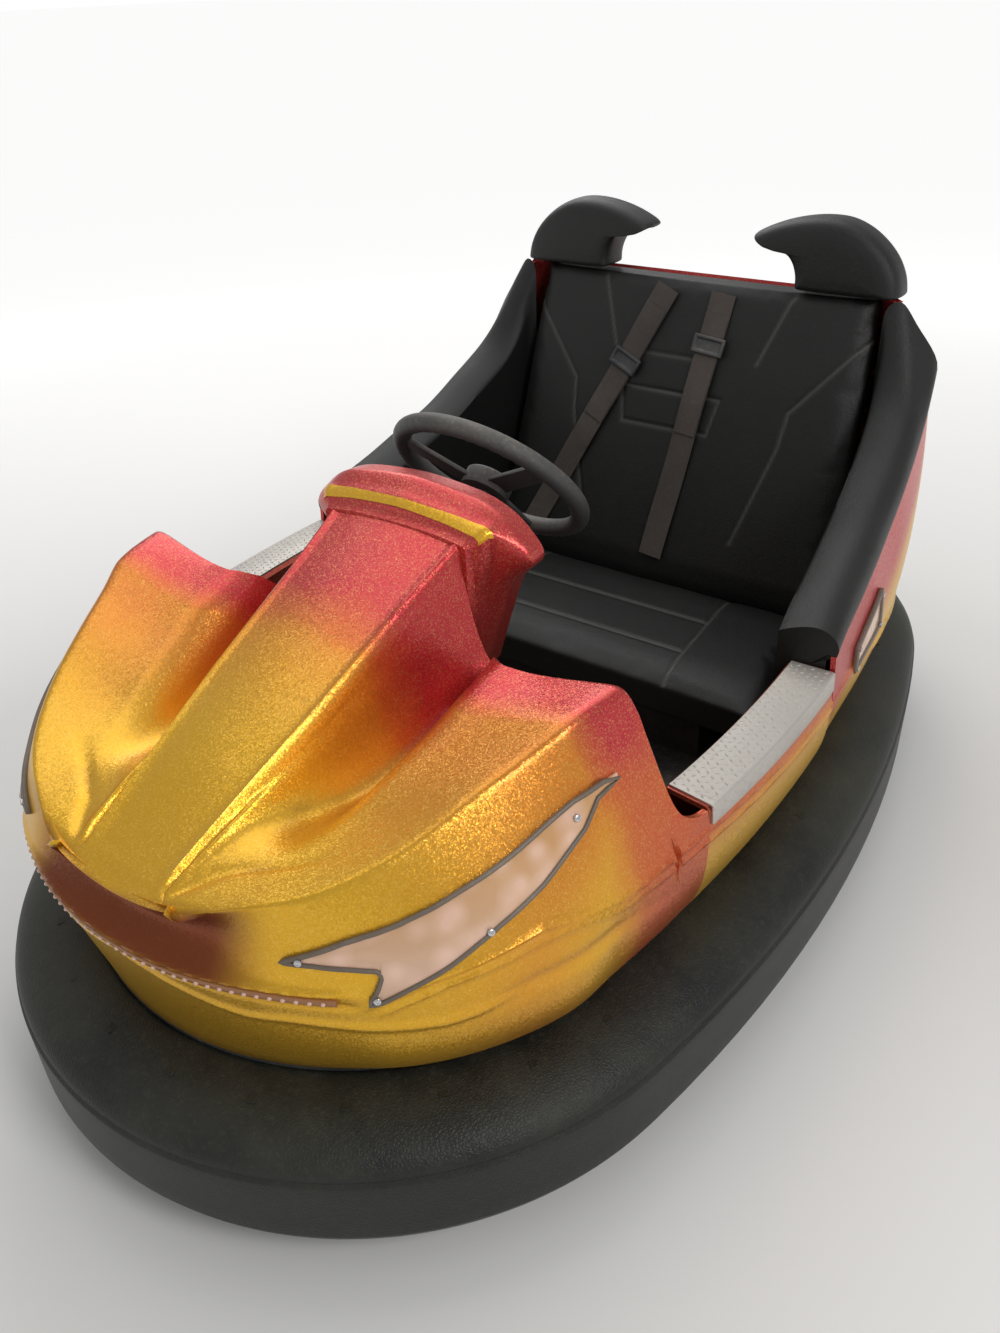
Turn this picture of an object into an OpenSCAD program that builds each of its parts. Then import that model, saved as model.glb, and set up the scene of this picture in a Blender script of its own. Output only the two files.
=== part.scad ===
// Two-seat fairground bumper car: painted shell over a steel pan, ringed by a rubber bumper.
// Front faces -Y, the driver's left is +X, and the floor is z = 0.

/* [Bumper] */
// Overall length over the rubber bumper
bumper_len = 1960; // [1900:10:2060]
// Overall width over the rubber bumper
bumper_w = 1180; // [1150:10:1240]
// How much tighter than half the width the bumper's nose is, seen from above
nose_short = 40; // [30:1:60]
// How much tighter than half the width the bumper's tail is, seen from above
tail_short = 70; // [45:1:100]
// Depth of the rubber from its face to the steel rim
tyre_depth = 127; // [110:1:135]
// Underside of the rubber above the floor
tyre_low = 62; // [50:1:80]
// Height of the crease round the rubber's face
crease_h = 190; // [170:1:205]
// Inner top edge of the rubber above the floor
tyre_top = 235; // [225:1:236]
// Wall of the steel rim
rim_t = 5; // [3:0.5:8]
// How far the rim's lower flange reaches inwards
flange_w = 33; // [20:1:45]

/* [Painted shell] */
// Wall of the moulded shell
shell_t = 8; // [5:0.5:10]
// Gap between the rim's top flange and the shell's lower edge
seat_gap = 0.3; // [0.2:0.1:1]
// Lower edge of the shell, inwards from the bumper's face
skirt_in = 121; // [112:1:126]
// Front end of the door opening, ahead of the car's middle
door_front = 350; // [320:5:380]
// Rear end of the door opening, behind the car's middle
door_rear = 20; // [-20:5:60]
// Height of the sill in the door opening
sill_h = 457; // [430:1:480]
// Sill, inwards from the bumper's face
sill_in = 75; // [65:1:90]
// Width of the sill's top
sill_w = 70; // [55:1:85]
// How far the sill bulges past a straight line
sill_bulge = 26; // [15:1:30]
// Rear edge of the wings and of the hood beside the dash, ahead of the car's middle
hood_rear = 430; // [420:1:440]
// Half width of the tongue at the nose
tongue_nose = 70; // [55:1:80]
// Half width of the tongue at the dash
tongue_dash = 122; // [110:1:130]
// Height of the tongue's ridges at the nose
ridge_nose = 494; // [485:1:505]
// Height of the tongue's ridges at the dash
ridge_dash = 714; // [690:1:722]
// Crown of the tongue between its ridges
tongue_crown = 10; // [0:1:20]
// Depth of the valleys between the tongue and the wings
valley = 38; // [15:1:45]
// How far the hood dips beside the foot of the dash
hood_dip = 125; // [60:1:140]

/* [Dash and steering] */
// Height of the dash lip's middle
dash_top = 765; // [745:1:790]
// Front face of the dash, ahead of the car's middle
dash_front = 345; // [335:1:360]
// Depth of the dash from front to rear
dash_depth = 83; // [70:1:95]
// Half width of the dash lip
dash_half = 186; // [165:1:200]
// Height of the steering wheel's middle
wheel_h = 705; // [690:1:730]
// Middle of the steering wheel, ahead of the car's middle
wheel_fore = 115; // [100:1:130]
// Lean of the steering column from upright
column_lean = 50; // [45:1:55]
// Outside radius of the steering wheel's rim
rim_r = 161; // [145:1:175]
// Radius of the steering wheel's grip
grip_r = 14; // [11:0.5:17]
// Radius of the steering shaft
shaft_r = 12; // [9:0.5:14]
// Outside radius of the column's tube
column_r = 22; // [18:0.5:26]

/* [Chassis] */
// Thickness of the chassis pan
pan_t = 4; // [3:0.5:6]
// Underside of the chassis pan above the floor
pan_h = 131; // [128:1:140]
// Width of the chassis rails
rail_w = 50; // [40:1:60]
// Depth of the chassis rails
rail_d = 30; // [25:1:35]
// Wall of the chassis rails
rail_t = 3; // [2:0.5:4]
// Middle of each long rail, from the car's centre line
rail_x = 210; // [195:1:220]
// Sideways place of the fixing holes, from the car's centre line
fix_x = 330; // [300:5:360]
// Half the distance between the fixing holes, front to rear
fix_y = 130; // [100:5:150]
// Middle of the fixing holes, from the car's middle
fix_mid = -50; // [-80:5:-30]
// Radius of the fixing holes
fix_r = 6.5; // [5:0.5:8]
// Thickness of the cockpit's floor
floor_t = 5; // [3:0.5:8]

/* [Drive unit] */
// Kingpin ahead of the car's middle
drive_fore = 500; // [480:5:520]
// Radius of the drive wheel
drive_r = 100; // [90:1:105]
// Width of the drive wheel's tread
drive_w = 60; // [50:1:70]
// Radius of the drive wheel's hub
drive_hub_r = 70; // [60:1:78]
// Radius of the drive motor
motor_r = 62; // [52:1:70]
// Length of the drive motor
motor_len = 102; // [85:1:115]
// Radius of the kingpin
kingpin_r = 25; // [20:0.5:30]
// Inside radius of the turret round the drive unit
turret_r = 184; // [180:1:195]
// Underside of the turret's top plate above the floor
turret_h = 246; // [240:1:255]

/* [Rear wheels] */
// Rear axle behind the car's middle
rear_aft = 520; // [490:5:530]
// Middle of each rear wheel, from the car's centre line
rear_x = 300; // [290:1:305]
// Radius of the rear wheels
rear_r = 60; // [52:0.5:62]
// Width of the rear wheels' tread
rear_w = 40; // [30:1:44]
// Radius of the rear wheels' pins
pin_r = 8; // [6:0.5:10]

/* [Seat] */
// Top of the seat cushion above the floor
cushion_top = 335; // [315:1:355]
// Thickness of the seat cushion
cushion_t = 89; // [70:1:89]
// Front of the seat cushion behind the car's middle
cushion_front = 40; // [20:1:70]
// Foot of the seat back's face behind the car's middle
back_foot = 400; // [385:1:415]
// Top of the seat back's face behind the car's middle
back_top_y = 560; // [545:1:575]
// Top of the seat back above the floor
back_h = 858; // [840:1:870]
// Thickness of the seat back, measured along the car
back_t = 60; // [45:1:70]
// Height of the headrests above the seat back
headrest_h = 120; // [100:1:135]
// Width of the belt webbing
belt_w = 48; // [40:1:55]
// Thickness of the belt webbing
belt_t = 2.5; // [1.5:0.5:3]

/* [Hidden] */
// Running clearance of a shaft in its bore, and the gap where fixed pieces seat
run_gap = 0.05;
seat = 0.3;
$fn = 96;

// The bumper's outline: nose, side and tail arcs that meet at tangents
half_w = bumper_w / 2;
nose_r = half_w - nose_short;
tail_r = half_w - tail_short;
nose_y = bumper_len / 2 - nose_r;
tail_y = bumper_len / 2 - tail_r;
arc_k = (half_w - tail_r) / (half_w - nose_r);
arc_a = arc_k - 1;
arc_b = 2 * arc_k * nose_y + 2 * tail_y;
arc_c = arc_k * (pow(nose_y, 2) + pow(half_w, 2) - pow(nose_r, 2))
  - pow(tail_y, 2) - pow(half_w, 2) + pow(tail_r, 2);
side_y = -2 * arc_c / (arc_b + sqrt(arc_b * arc_b - 4 * arc_a * arc_c));
side_r = (pow(side_y + nose_y, 2) + pow(half_w, 2) - pow(nose_r, 2)) / (2 * (half_w - nose_r));
// Angles from the front at which the arcs meet
nose_deg = 90 + asin((-nose_y - side_y) / (side_r - nose_r));
tail_deg = 90 + asin((tail_y - side_y) / (side_r - tail_r));

// A point of the outline moved outwards by d, at an angle from the front, positive to +X
function ring_xy(t, d) =
  let (a = t > 180 ? t - 360 : t, s = a < 0 ? -1 : 1, u = abs(a))
  u <= nose_deg ? [s * (nose_r + d) * sin(u), -nose_y - (nose_r + d) * cos(u)] :
  u <= tail_deg ? [s * (half_w - side_r + (side_r + d) * sin(u)), side_y - (side_r + d) * cos(u)] :
  [s * (tail_r + d) * sin(u), tail_y - (tail_r + d) * cos(u)];

// The side arc's angle at a place y along the car
function side_deg(y, d) = 90 + asin((y - side_y) / (side_r + d));

// Smooth curve through a table's column c, read at x in its first column
function row_of(tab, x, i = 0) =
  i >= len(tab) - 2 || x < tab[i + 1][0] ? i : row_of(tab, x, i + 1);
function slope(tab, i, c) =
  let (a = max(i - 1, 0), b = min(i + 1, len(tab) - 1))
  (tab[b][c] - tab[a][c]) / (tab[b][0] - tab[a][0]);
function curve(tab, x, c) =
  let (q = min(max(x, tab[0][0]), tab[len(tab) - 1][0]), i = row_of(tab, q),
    h = tab[i + 1][0] - tab[i][0], u = (q - tab[i][0]) / h, v = 1 - u)
  v * v * (1 + 2 * u) * tab[i][c] + u * u * (1 + 2 * v) * tab[i + 1][c]
    + h * u * v * (v * slope(tab, i, c) - u * slope(tab, i + 1, c));

// Columns of both forms: angle from the front, the upper edge's offset from the bumper's face, its
// height, and the bulge above the belt line, or on the rear cowl the bulge of the whole flank.
// The front adds the belt line's offset and height and the bulge below it, the rear its bulge's rise
front_form = [
  [0, -98, 486, -18, -84, 425, -4], [12, -95, 498, -18, -82, 425, -2], [24, -105, 519, -6, -80, 425, 6],
  [34, -113, 536, 2, -76, 424, 14], [42, -126, 554, 4, -72, 417, 24], [50, -141, 575, 4, -72, 438, 32],
  [60, -157, 602, 4, -75, 456, 38], [70, -160, 624, 4, -74, 450, 38], [78, -153, 646, 4, -71, 432, 26],
  [82, -153, 657, 4, -71, 424, 22]
];
skirt_h = tyre_top + 1 + rim_t + seat_gap;
door_front_deg = side_deg(-door_front, -skirt_in);
door_rear_deg = side_deg(door_rear, -skirt_in);
wing_deg = side_deg(-hood_rear, -sill_in);
pad_end_deg = side_deg(back_top_y + 10, -sill_in);
cowl_step_up = 26;
rear_form = [
  [door_rear_deg, -sill_in, sill_h + cowl_step_up, sill_bulge, 0.75], [93, -79, 497, 25, 0.75],
  [95, -81, 514, 28, 0.75], [97, -80, 538, 34, 0.75], [99, -78, 562, 39, 0.75], [101, -72, 597, 43, 0.75],
  [104, -63, 656, 44, 0.75], [pad_end_deg - 0.1, -60, 701, 43, 0.75], [pad_end_deg, -60, 702, 43, 0.75],
  [pad_end_deg + 0.4, -132, 850, 77, 1.15], [110, -142, 840, 82, 1.15],
  [120, -168, 816, 92, 1.1], [140, -190, 794, 96, 1.05], [180, -204, 786, 97, 1]
];
function form(t, c) = let (a = abs(t > 180 ? t - 360 : t))
  a < 87 ? curve(front_form, a, c) : curve(rear_form, a, c);

// Offset of the sill's flank, of the front cowl and of the whole flank at a height
function swell(v, bulge, rise = 0.75) = bulge * sin(180 * pow(v, rise));
function sill_d(z) = let (v = (z - skirt_h) / (sill_h - skirt_h))
  -skirt_in + (skirt_in - sill_in) * v + swell(v, sill_bulge);
function front_d(t, z) = let (belt = form(t, 5), crest = form(t, 2))
  z < belt ? let (v = (z - skirt_h) / (belt - skirt_h))
    -skirt_in + (form(t, 4) + skirt_in) * v + swell(v, form(t, 6)) :
  let (u = (z - belt) / (crest - belt)) form(t, 4) + (form(t, 1) - form(t, 4)) * u + swell(u, form(t, 3), 1);
function flank_d(t, z) =
  let (a = abs(t > 180 ? t - 360 : t), w = ease((a - wing_deg) / (door_front_deg - wing_deg)),
    v = (z - skirt_h) / (form(t, 2) - skirt_h))
  a > 87 ? -skirt_in + (form(t, 1) + skirt_in) * v + swell(v, form(t, 3), form(t, 4)) :
  w > 0 ? front_d(t, z) * (1 - w) + sill_d(z) * w : front_d(t, z);
// A point of the flank at a height, moved outwards by e
function flank_pt(t, z, e = 0) = let (p = ring_xy(t, flank_d(t, z) + e)) [p.x, p.y, z];
// Smooth step from 0 to 1
function ease(x) = let (u = min(max(x, 0), 1)) u * u * (3 - 2 * u);

// Closed shell between two grids of points, each a list of columns
function cell_pair(a, b, c, d) = [[a, b, c], [a, c, d]];
module skin(outer, inner) {
  m = len(outer);
  n = len(outer[0]);
  pts = concat([for (g = [outer, inner], col = g) each col]);
  o = function (i, j) i * n + j;
  w = function (i, j) m * n + i * n + j;
  faces = concat(
    [for (i = [0 : m - 2], j = [0 : n - 2])
      each cell_pair(o(i, j), o(i, j + 1), o(i + 1, j + 1), o(i + 1, j))],
    [for (i = [0 : m - 2], j = [0 : n - 2])
      each cell_pair(w(i + 1, j), w(i + 1, j + 1), w(i, j + 1), w(i, j))],
    [for (i = [0 : m - 2]) each cell_pair(o(i, 0), o(i + 1, 0), w(i + 1, 0), w(i, 0))],
    [for (i = [0 : m - 2]) each cell_pair(o(i + 1, n - 1), o(i, n - 1), w(i, n - 1), w(i + 1, n - 1))],
    [for (j = [0 : n - 2]) each cell_pair(o(0, j + 1), o(0, j), w(0, j), w(0, j + 1))],
    [for (j = [0 : n - 2]) each cell_pair(o(m - 1, j), o(m - 1, j + 1), w(m - 1, j + 1), w(m - 1, j))]
  );
  polyhedron(points = pts, faces = faces, convexity = 10);
}

// Solid through a row of closed outlines that have equal numbers of points
module loft(rings) {
  m = len(rings);
  n = len(rings[0]);
  faces = concat(
    [[for (j = [0 : n - 1]) n - 1 - j]],
    [for (i = [0 : m - 2], j = [0 : n - 1])
      each cell_pair(i * n + j, i * n + (j + 1) % n, (i + 1) * n + (j + 1) % n, (i + 1) * n + j)],
    [[for (j = [0 : n - 1]) (m - 1) * n + j]]
  );
  polyhedron(points = [for (r = rings) each r], faces = faces, convexity = 10);
}

// Closed ring through outlines that go round and meet their start
module ring_skin(rings) {
  m = len(rings);
  n = len(rings[0]);
  faces = [for (i = [0 : m - 1], j = [0 : n - 1]) let (a = (i + 1) % m, b = (j + 1) % n)
    each cell_pair(i * n + j, i * n + b, a * n + b, a * n + j)];
  polyhedron(points = [for (r = rings) each r], faces = faces, convexity = 10);
}

// A patch that lies on the flank between two heights, from e0 to e1 outside it
module flank_patch(angles, low, high, e0, e1, rows = 2) {
  grid = function (e) [for (k = [0 : len(angles) - 1])
    [for (j = [0 : rows]) flank_pt(angles[k], low[k] + (high[k] - low[k]) * j / rows, e)]];
  skin(grid(e1), grid(e0));
}

// A section carried round the whole outline: x of the section is the offset, y the height
function section_ring(section) =
  [for (t = outline_angles) [for (q = section) let (p = ring_xy(t, q.x)) [p.x, p.y, q.y]]];

// Sweeps a section along the +X side arc between two angles
module along_side(from_deg, to_deg) {
  translate([half_w - side_r, side_y, 0]) rotate([0, 0, from_deg - 90])
    rotate_extrude(angle = to_deg - from_deg, $fn = 360) translate([side_r, 0]) children();
}

// The outline's plan, moved outwards by d, and the angles at which it is sampled
outline_angles = concat(
  [for (k = [0 : 52]) nose_deg * (k / 26 - 1)],
  [for (k = [1 : 24]) nose_deg + (tail_deg - nose_deg) * k / 24],
  [for (k = [1 : 50]) tail_deg + (360 - 2 * tail_deg) * k / 50],
  [for (k = [1 : 23]) 360 - tail_deg + (tail_deg - nose_deg) * k / 24]
);
module plan(d) {
  polygon([for (t = outline_angles) ring_xy(t, d)]);
}

// The rubber's section, from its underside round the face and over the shoulder
crease_step = 3;
shoulder_n = 6;
tyre_section = concat(
  [[-tyre_depth, tyre_low + 14], [-tyre_depth + 14, tyre_low], [-32, tyre_low],
    [-12, tyre_low + 7], [0, tyre_low + 24]],
  [[0, crease_h - 2], [-crease_step, crease_h]],
  [for (k = [1 : shoulder_n]) let (a = 90 * k / shoulder_n)
    [-crease_step - (tyre_depth - 15) * (1 - cos(a)), crease_h + (tyre_top - crease_h) * sin(a)]],
  [[-tyre_depth, tyre_top - 4]]
);

module bumper_tyre() {
  color("#23262a") ring_skin(section_ring(tyre_section));
}

rim_out = tyre_depth + seat;
rim_low = tyre_low + 28;
rim_top = skirt_h - seat_gap;
rim_section = [
  [-rim_out - rim_t, rim_top], [-rim_out - rim_t, rim_low + rim_t],
  [-rim_out - rim_t - flange_w, rim_low + rim_t], [-rim_out - rim_t - flange_w, rim_low],
  [-rim_out, rim_low], [-rim_out, rim_top - rim_t],
  [-skirt_in, rim_top - rim_t], [-skirt_in, rim_top]
];
module bumper_rim() {
  color("#2c2e31") ring_skin(section_ring(rim_section));
}

module chassis_pan() {
  color("#3a3d40") translate([0, 0, pan_h]) linear_extrude(pan_t) difference() {
    plan(-rim_out - rim_t - seat);
    translate([0, -drive_fore]) circle(r = turret_r);
    fixing_holes();
  }
}

// Four holes through pan and floor for lashing or lifting eyes
module fixing_holes() {
  for (s = [-1, 1], y = [-fix_y, fix_y]) translate([s * fix_x, fix_mid + y]) circle(r = fix_r);
}

rail_front = 560;
rail_back = 640;
cross_y = [-230, 610];
module box_rail(len_y) {
  translate([-rail_w / 2, 0, pan_h - rail_d]) difference() {
    cube([rail_w, len_y, rail_d]);
    translate([rail_t, -1, rail_t]) cube([rail_w - 2 * rail_t, len_y + 2, rail_d - 2 * rail_t]);
  }
}
module chassis_rails() {
  color("#33363a") {
    for (s = [-1, 1]) translate([s * rail_x, -rail_front, 0]) box_rail(rail_front + rail_back);
    for (y = cross_y) translate([rail_w / 2 - rail_x, y, 0])
      rotate([0, 0, -90]) box_rail(2 * rail_x - rail_w);
  }
}

turret_t = 5;
turret_foot = 22;
boss_h = 36;
module drive_turret() {
  floor_h = pan_h + pan_t;
  color("#4a4d50") translate([0, -drive_fore, 0]) rotate_extrude() {
    translate([turret_r, floor_h]) square([turret_t, turret_h + turret_t - floor_h]);
    translate([turret_r, floor_h]) square([turret_foot, turret_t]);
    translate([kingpin_r + run_gap, turret_h]) square([turret_r + turret_t - kingpin_r - run_gap, turret_t]);
    translate([kingpin_r + run_gap, turret_h]) square([22, boss_h]);
  }
}

// The front cowl: a flank from door to door, and the hood between the wings' crests
cowl_steps = 26;
belly_rows = 5;
cheek_rows = 5;
// The wing's rear edge: share of the way from tip_start to the sill, and share of the drop to the sill
tip_form = [[0, 0], [0.22, 0.01], [0.33, 0.03], [0.38, 0.12], [0.41, 0.4], [0.44, 0.65], [0.5, 0.82],
  [0.6, 0.92], [0.8, 0.99], [1, 1]];
tip_start = wing_deg - 1.1;
cowl_half = concat([for (k = [0 : cowl_steps - 1]) tip_start * k / cowl_steps],
  [for (p = tip_form) tip_start + (door_front_deg - tip_start) * p[0]]);
cowl_angles = concat([for (k = [len(cowl_half) - 1 : -1 : 1]) -cowl_half[k]], cowl_half);
function top_h(t) = let (p = (abs(t) - tip_start) / (door_front_deg - tip_start), crest = form(t, 2))
  p <= 0 ? crest : crest + (sill_h - crest) * curve(tip_form, p, 1);
function cowl_h(t, j) = let (belt = form(t, 5))
  j <= belly_rows ? skirt_h + (belt - skirt_h) * j / belly_rows :
  belt + (top_h(t) - belt) * (j - belly_rows) / cheek_rows;

// The hood's rows run from the nose to the wings' rear edges, its columns along the tongue's ridges
hood_start = 12;
hood_angles = [for (t = cowl_half) if (t > hood_start && t < wing_deg - 0.3) t];
tongue_cols = 3;
valley_cols = 9;
hood_cols = concat([for (k = [valley_cols : -1 : 1]) [-1, k / valley_cols]],
  [for (k = [-tongue_cols : tongue_cols]) [0, k / tongue_cols]],
  [for (k = [1 : valley_cols]) [1, k / valley_cols]]);
tongue_tip = 107;
dash_flat = 155;
dash_fade = 85;
hood_lap = 5;
module body_front() {
  flank = function (e) [for (t = cowl_angles)
    [for (j = [0 : belly_rows + cheek_rows]) flank_pt(t, cowl_h(t, j), e)]];
  hood = function (e) [for (t = hood_angles)
    [for (k = [len(hood_cols) - 1 : -1 : 0]) hood_pt(t, hood_cols[k], e)]];
  color("#d39a1c") union() {
    skin(flank(0), flank(-shell_t));
    skin(hood(0), hood(-shell_t));
  }
}

// A point of the hood, in the row of the crest's angle t and in a column: side, share of the way out
function hood_edge(t) = ring_xy(t, flank_d(t, top_h(t)));
hood_end = hood_angles[len(hood_angles) - 1];
function hood_pt(t, col, e) =
  let (c = hood_edge(t), s = (t - hood_angles[0]) / (hood_end - hood_angles[0]),
    g0 = (c.y + bumper_len / 2 - tongue_tip) / (bumper_len / 2 - tongue_tip - dash_front),
    half0 = tongue_nose + (tongue_dash - tongue_nose) * g0,
    ax = col[0] == 0 ? half0 * abs(col[1]) : half0 + (c.x - half0) * col[1],
    run = ease((s - 0.7) / 0.3) * (1 - ease((ax - dash_flat) / dash_fade)),
    y = c.y - run * (hood_edge(hood_end).y + dash_front + seat) - (1 - ease(s * 9)) * hood_lap,
    g = (y + bumper_len / 2 - tongue_tip) / (bumper_len / 2 - tongue_tip - dash_front),
    ridge = ridge_nose + (ridge_dash - ridge_nose) * g, q = max(0, (ax - half0) / (c.x - half0)),
    inside = ridge + tongue_crown * ease(g * 3) * (1 - pow(ax / half0, 2)),
    outside = ridge + (top_h(t) - ridge) * q - valley * ease(g * 2.5) * sin(180 * pow(q, 0.7))
      - hood_dip * run * sin(180 * pow(min(1, 2.2 * q), 0.75)),
    nose = form(asin(min(ax, c.x) / (nose_r - 98)), 2))
  [sign_of(col) * ax, y, (col[0] == 0 ? inside : outside) * ease(s * 9) + nose * (1 - ease(s * 9)) + e];
function sign_of(col) = col[0] == 0 ? (col[1] < 0 ? -1 : 1) : col[0];

// The sill: skin, top and inner wall in one closed section
floor_low = pan_h + pan_t + seat;
sill_rows = 5;
function sill_skin(e) = [for (j = [0 : sill_rows]) let (z = skirt_h + (sill_h - skirt_h) * j / sill_rows)
  [sill_d(z) - e, z - (j == sill_rows ? e : 0)]];
sill_section = concat(
  sill_skin(0),
  [[-sill_in - sill_w, sill_h], [-sill_in - sill_w, floor_low],
    [-sill_in - sill_w + shell_t, floor_low], [-sill_in - sill_w + shell_t, sill_h - shell_t]],
  [for (j = [sill_rows : -1 : 0]) sill_skin(shell_t)[j]]
);
module body_sill(side) {
  color("#c8551f") mirror([side < 0 ? 1 : 0, 0, 0])
    along_side(door_front_deg, door_rear_deg) polygon(sill_section);
}
module body_sill_left() { body_sill(1); }
module body_sill_right() { body_sill(-1); }

// The rear cowl: a flank round the tail, closed by a deck behind the seat
flank_rows = 10;
pad_steps = 18;
tail_steps = 26;
pad_angles = [for (k = [0 : pad_steps]) door_rear_deg + (pad_end_deg - door_rear_deg) * k / pad_steps];
tail_start = pad_end_deg + 0.4;
tail_angles = concat(pad_angles,
  [for (k = [0 : tail_steps]) tail_start + (360 - 2 * tail_start) * k / tail_steps],
  [for (k = [pad_steps : -1 : 0]) 360 - pad_angles[k]]);
deck_h = 850;
deck_from = 122;
deck_sink = 2;
deck_steps = 24;
deck_front = back_top_y + back_t + 2;
deck_rows = 4;
module body_rear() {
  flank = function (e) [for (t = tail_angles)
    [for (j = [0 : flank_rows]) flank_pt(t, skirt_h + (form(t, 2) - skirt_h) * j / flank_rows, e)]];
  side = ring_xy(deck_from, form(deck_from, 1)).x - shell_t;
  deck = function (e) [for (k = [0 : deck_steps])
    let (t = deck_from + (360 - 2 * deck_from) * k / deck_steps, rim = flank_pt(t, form(t, 2) - deck_sink, -shell_t / 2),
      front = [side * (1 - 2 * k / deck_steps), deck_front, deck_h])
    [for (j = [0 : deck_rows]) rim + (front - rim) * j / deck_rows + [0, 0, e]]];
  color("#d8922a") union() {
    skin(flank(0), flank(-shell_t));
    skin(deck(0), deck(-shell_t));
  }
}

// The column's own frame: middle of the steering wheel, Z up the shaft
module on_column() {
  translate([0, -wheel_fore, wheel_h]) rotate([-column_lean, 0, 0]) children();
}

// The dash's outlines: place behind its front face as a share of its depth, then half of each outline
// from the crown to the foot, as a share of its half width and a drop below its top
dash_form = [
  [0, [[0, 38], [0.35, 40], [0.58, 45], [0.65, 49], [0.66, 65], [0.66, 165], [0.6, 260]]],
  [0.33, [[0, 16], [0.4, 20], [0.62, 26], [0.73, 30], [0.75, 50], [0.68, 155], [0.6, 260]]],
  [0.66, [[0, 0], [0.43, 5], [0.66, 13], [0.84, 36], [1, 75], [0.84, 120], [0.6, 260]]],
  [1, [[0, 3], [0.43, 7], [0.67, 17], [0.86, 38], [1, 75], [0.84, 120], [0.6, 260]]]
];
module dash_panel() {
  pt = function (r, k, s) [s * r[1][k][0] * dash_half, r[0] * dash_depth - dash_front, dash_top - r[1][k][1]];
  rings = [for (r = dash_form) let (n = len(r[1]))
    concat([for (k = [0 : n - 1]) pt(r, k, -1)], [for (k = [n - 1 : -1 : 1]) pt(r, k, 1)])];
  color("#c8405a") difference() {
    loft(rings);
    on_column() translate([0, 0, -column_top - column_len - 10])
      cylinder(r = column_r + seat, h = column_len + 10);
  }
}

column_top = 36;
column_len = 290;
module steering_column() {
  color("#1f2022") on_column() translate([0, 0, -column_top - column_len]) difference() {
    cylinder(r = column_r, h = column_len);
    translate([0, 0, -1]) cylinder(r = shaft_r + run_gap, h = column_len + 2);
  }
}

spoke_degs = [0, 120, 240];
hub_r = 38;
hub_h = 26;
module steering_wheel() {
  color("#151617") on_column() {
    rotate_extrude() translate([rim_r - grip_r, 0]) circle(r = grip_r);
    translate([0, 0, -hub_h]) cylinder(r = hub_r, h = hub_h);
    translate([0, 0, -column_top - 130]) cylinder(r = shaft_r, h = column_top + 130 - hub_h / 2);
    for (a = spoke_degs) rotate([0, 0, a + 90]) translate([hub_r - 6, -15, -18])
      cube([rim_r - hub_r - grip_r, 30, 7]);
  }
}

module cockpit_floor() {
  color("#2a2b2c") translate([0, 0, floor_low]) linear_extrude(floor_t) difference() {
    plan(-sill_in - sill_w - seat);
    translate([0, -drive_fore]) circle(r = turret_r + turret_foot + seat);
    fixing_holes();
  }
}

floor_top = floor_low + floor_t;
battery_half = 270;
battery_front = 110;
battery_back = 390;
battery_top = cushion_top - cushion_t - seat;
module battery_box() {
  color("#46494c") translate([-battery_half, battery_front, floor_top + seat])
    cube([2 * battery_half, battery_back - battery_front, battery_top - floor_top - seat]);
}

// The side pads: how far they rise above the shell's edge, and how far in they reach from it
pad_rise = [[door_rear_deg, 40], [95, 50], [99, 51], [101, 54], [103, 63], [104, 86], [pad_end_deg, 154]];
pad_lean = 0.44;
pad_roll = 58;
pad_thick = 90;
function rise(t) = curve(pad_rise, t, 1);
function pad_in(t) = max(pad_thick, pad_roll + 0.9 * pad_lean * (rise(t) - pad_roll));
// Half the room between the pads at a place y
pad_clear = 8;
function seat_half(y) = let (t = min(side_deg(y, -2 * sill_in), pad_end_deg))
  ring_xy(t, form(t, 1) - pad_in(t) - pad_clear).x;
seat_cols = 8;
function seat_plan(from, to) = concat(
  [for (k = [0 : seat_cols]) let (y = from + (to - from) * k / seat_cols) [seat_half(y), y]],
  [for (k = [seat_cols : -1 : 0]) let (y = from + (to - from) * k / seat_cols) [-seat_half(y), y]]);
cushion_back = back_foot - seat;
module seat_base() {
  color("#1a1b1c") translate([0, 0, cushion_top - cushion_t]) linear_extrude(cushion_t)
    polygon(seat_plan(cushion_front, cushion_back));
}

back_behind = back_top_y + back_t;
back_edge = 40;
back_taper = 42;
module seat_back() {
  low = cushion_top - cushion_t;
  pads = seat_plan(back_foot - 1, back_top_y);
  half = seat_half(back_top_y);
  color("#1a1b1c") intersection() {
    rotate([90, 0, 90]) linear_extrude(bumper_w, center = true)
      polygon([[back_foot, low], [back_foot + back_t, low], [back_behind, back_h - back_edge],
        [back_behind, back_h], [back_top_y, back_h], [back_foot, cushion_top]]);
    linear_extrude(back_h)
      polygon(concat([for (k = [0 : seat_cols]) pads[k]],
        [[half - back_taper, back_behind + 1], [back_taper - half, back_behind + 1]],
        [for (k = [seat_cols + 1 : 2 * seat_cols + 1]) pads[k]]));
  }
}

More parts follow.
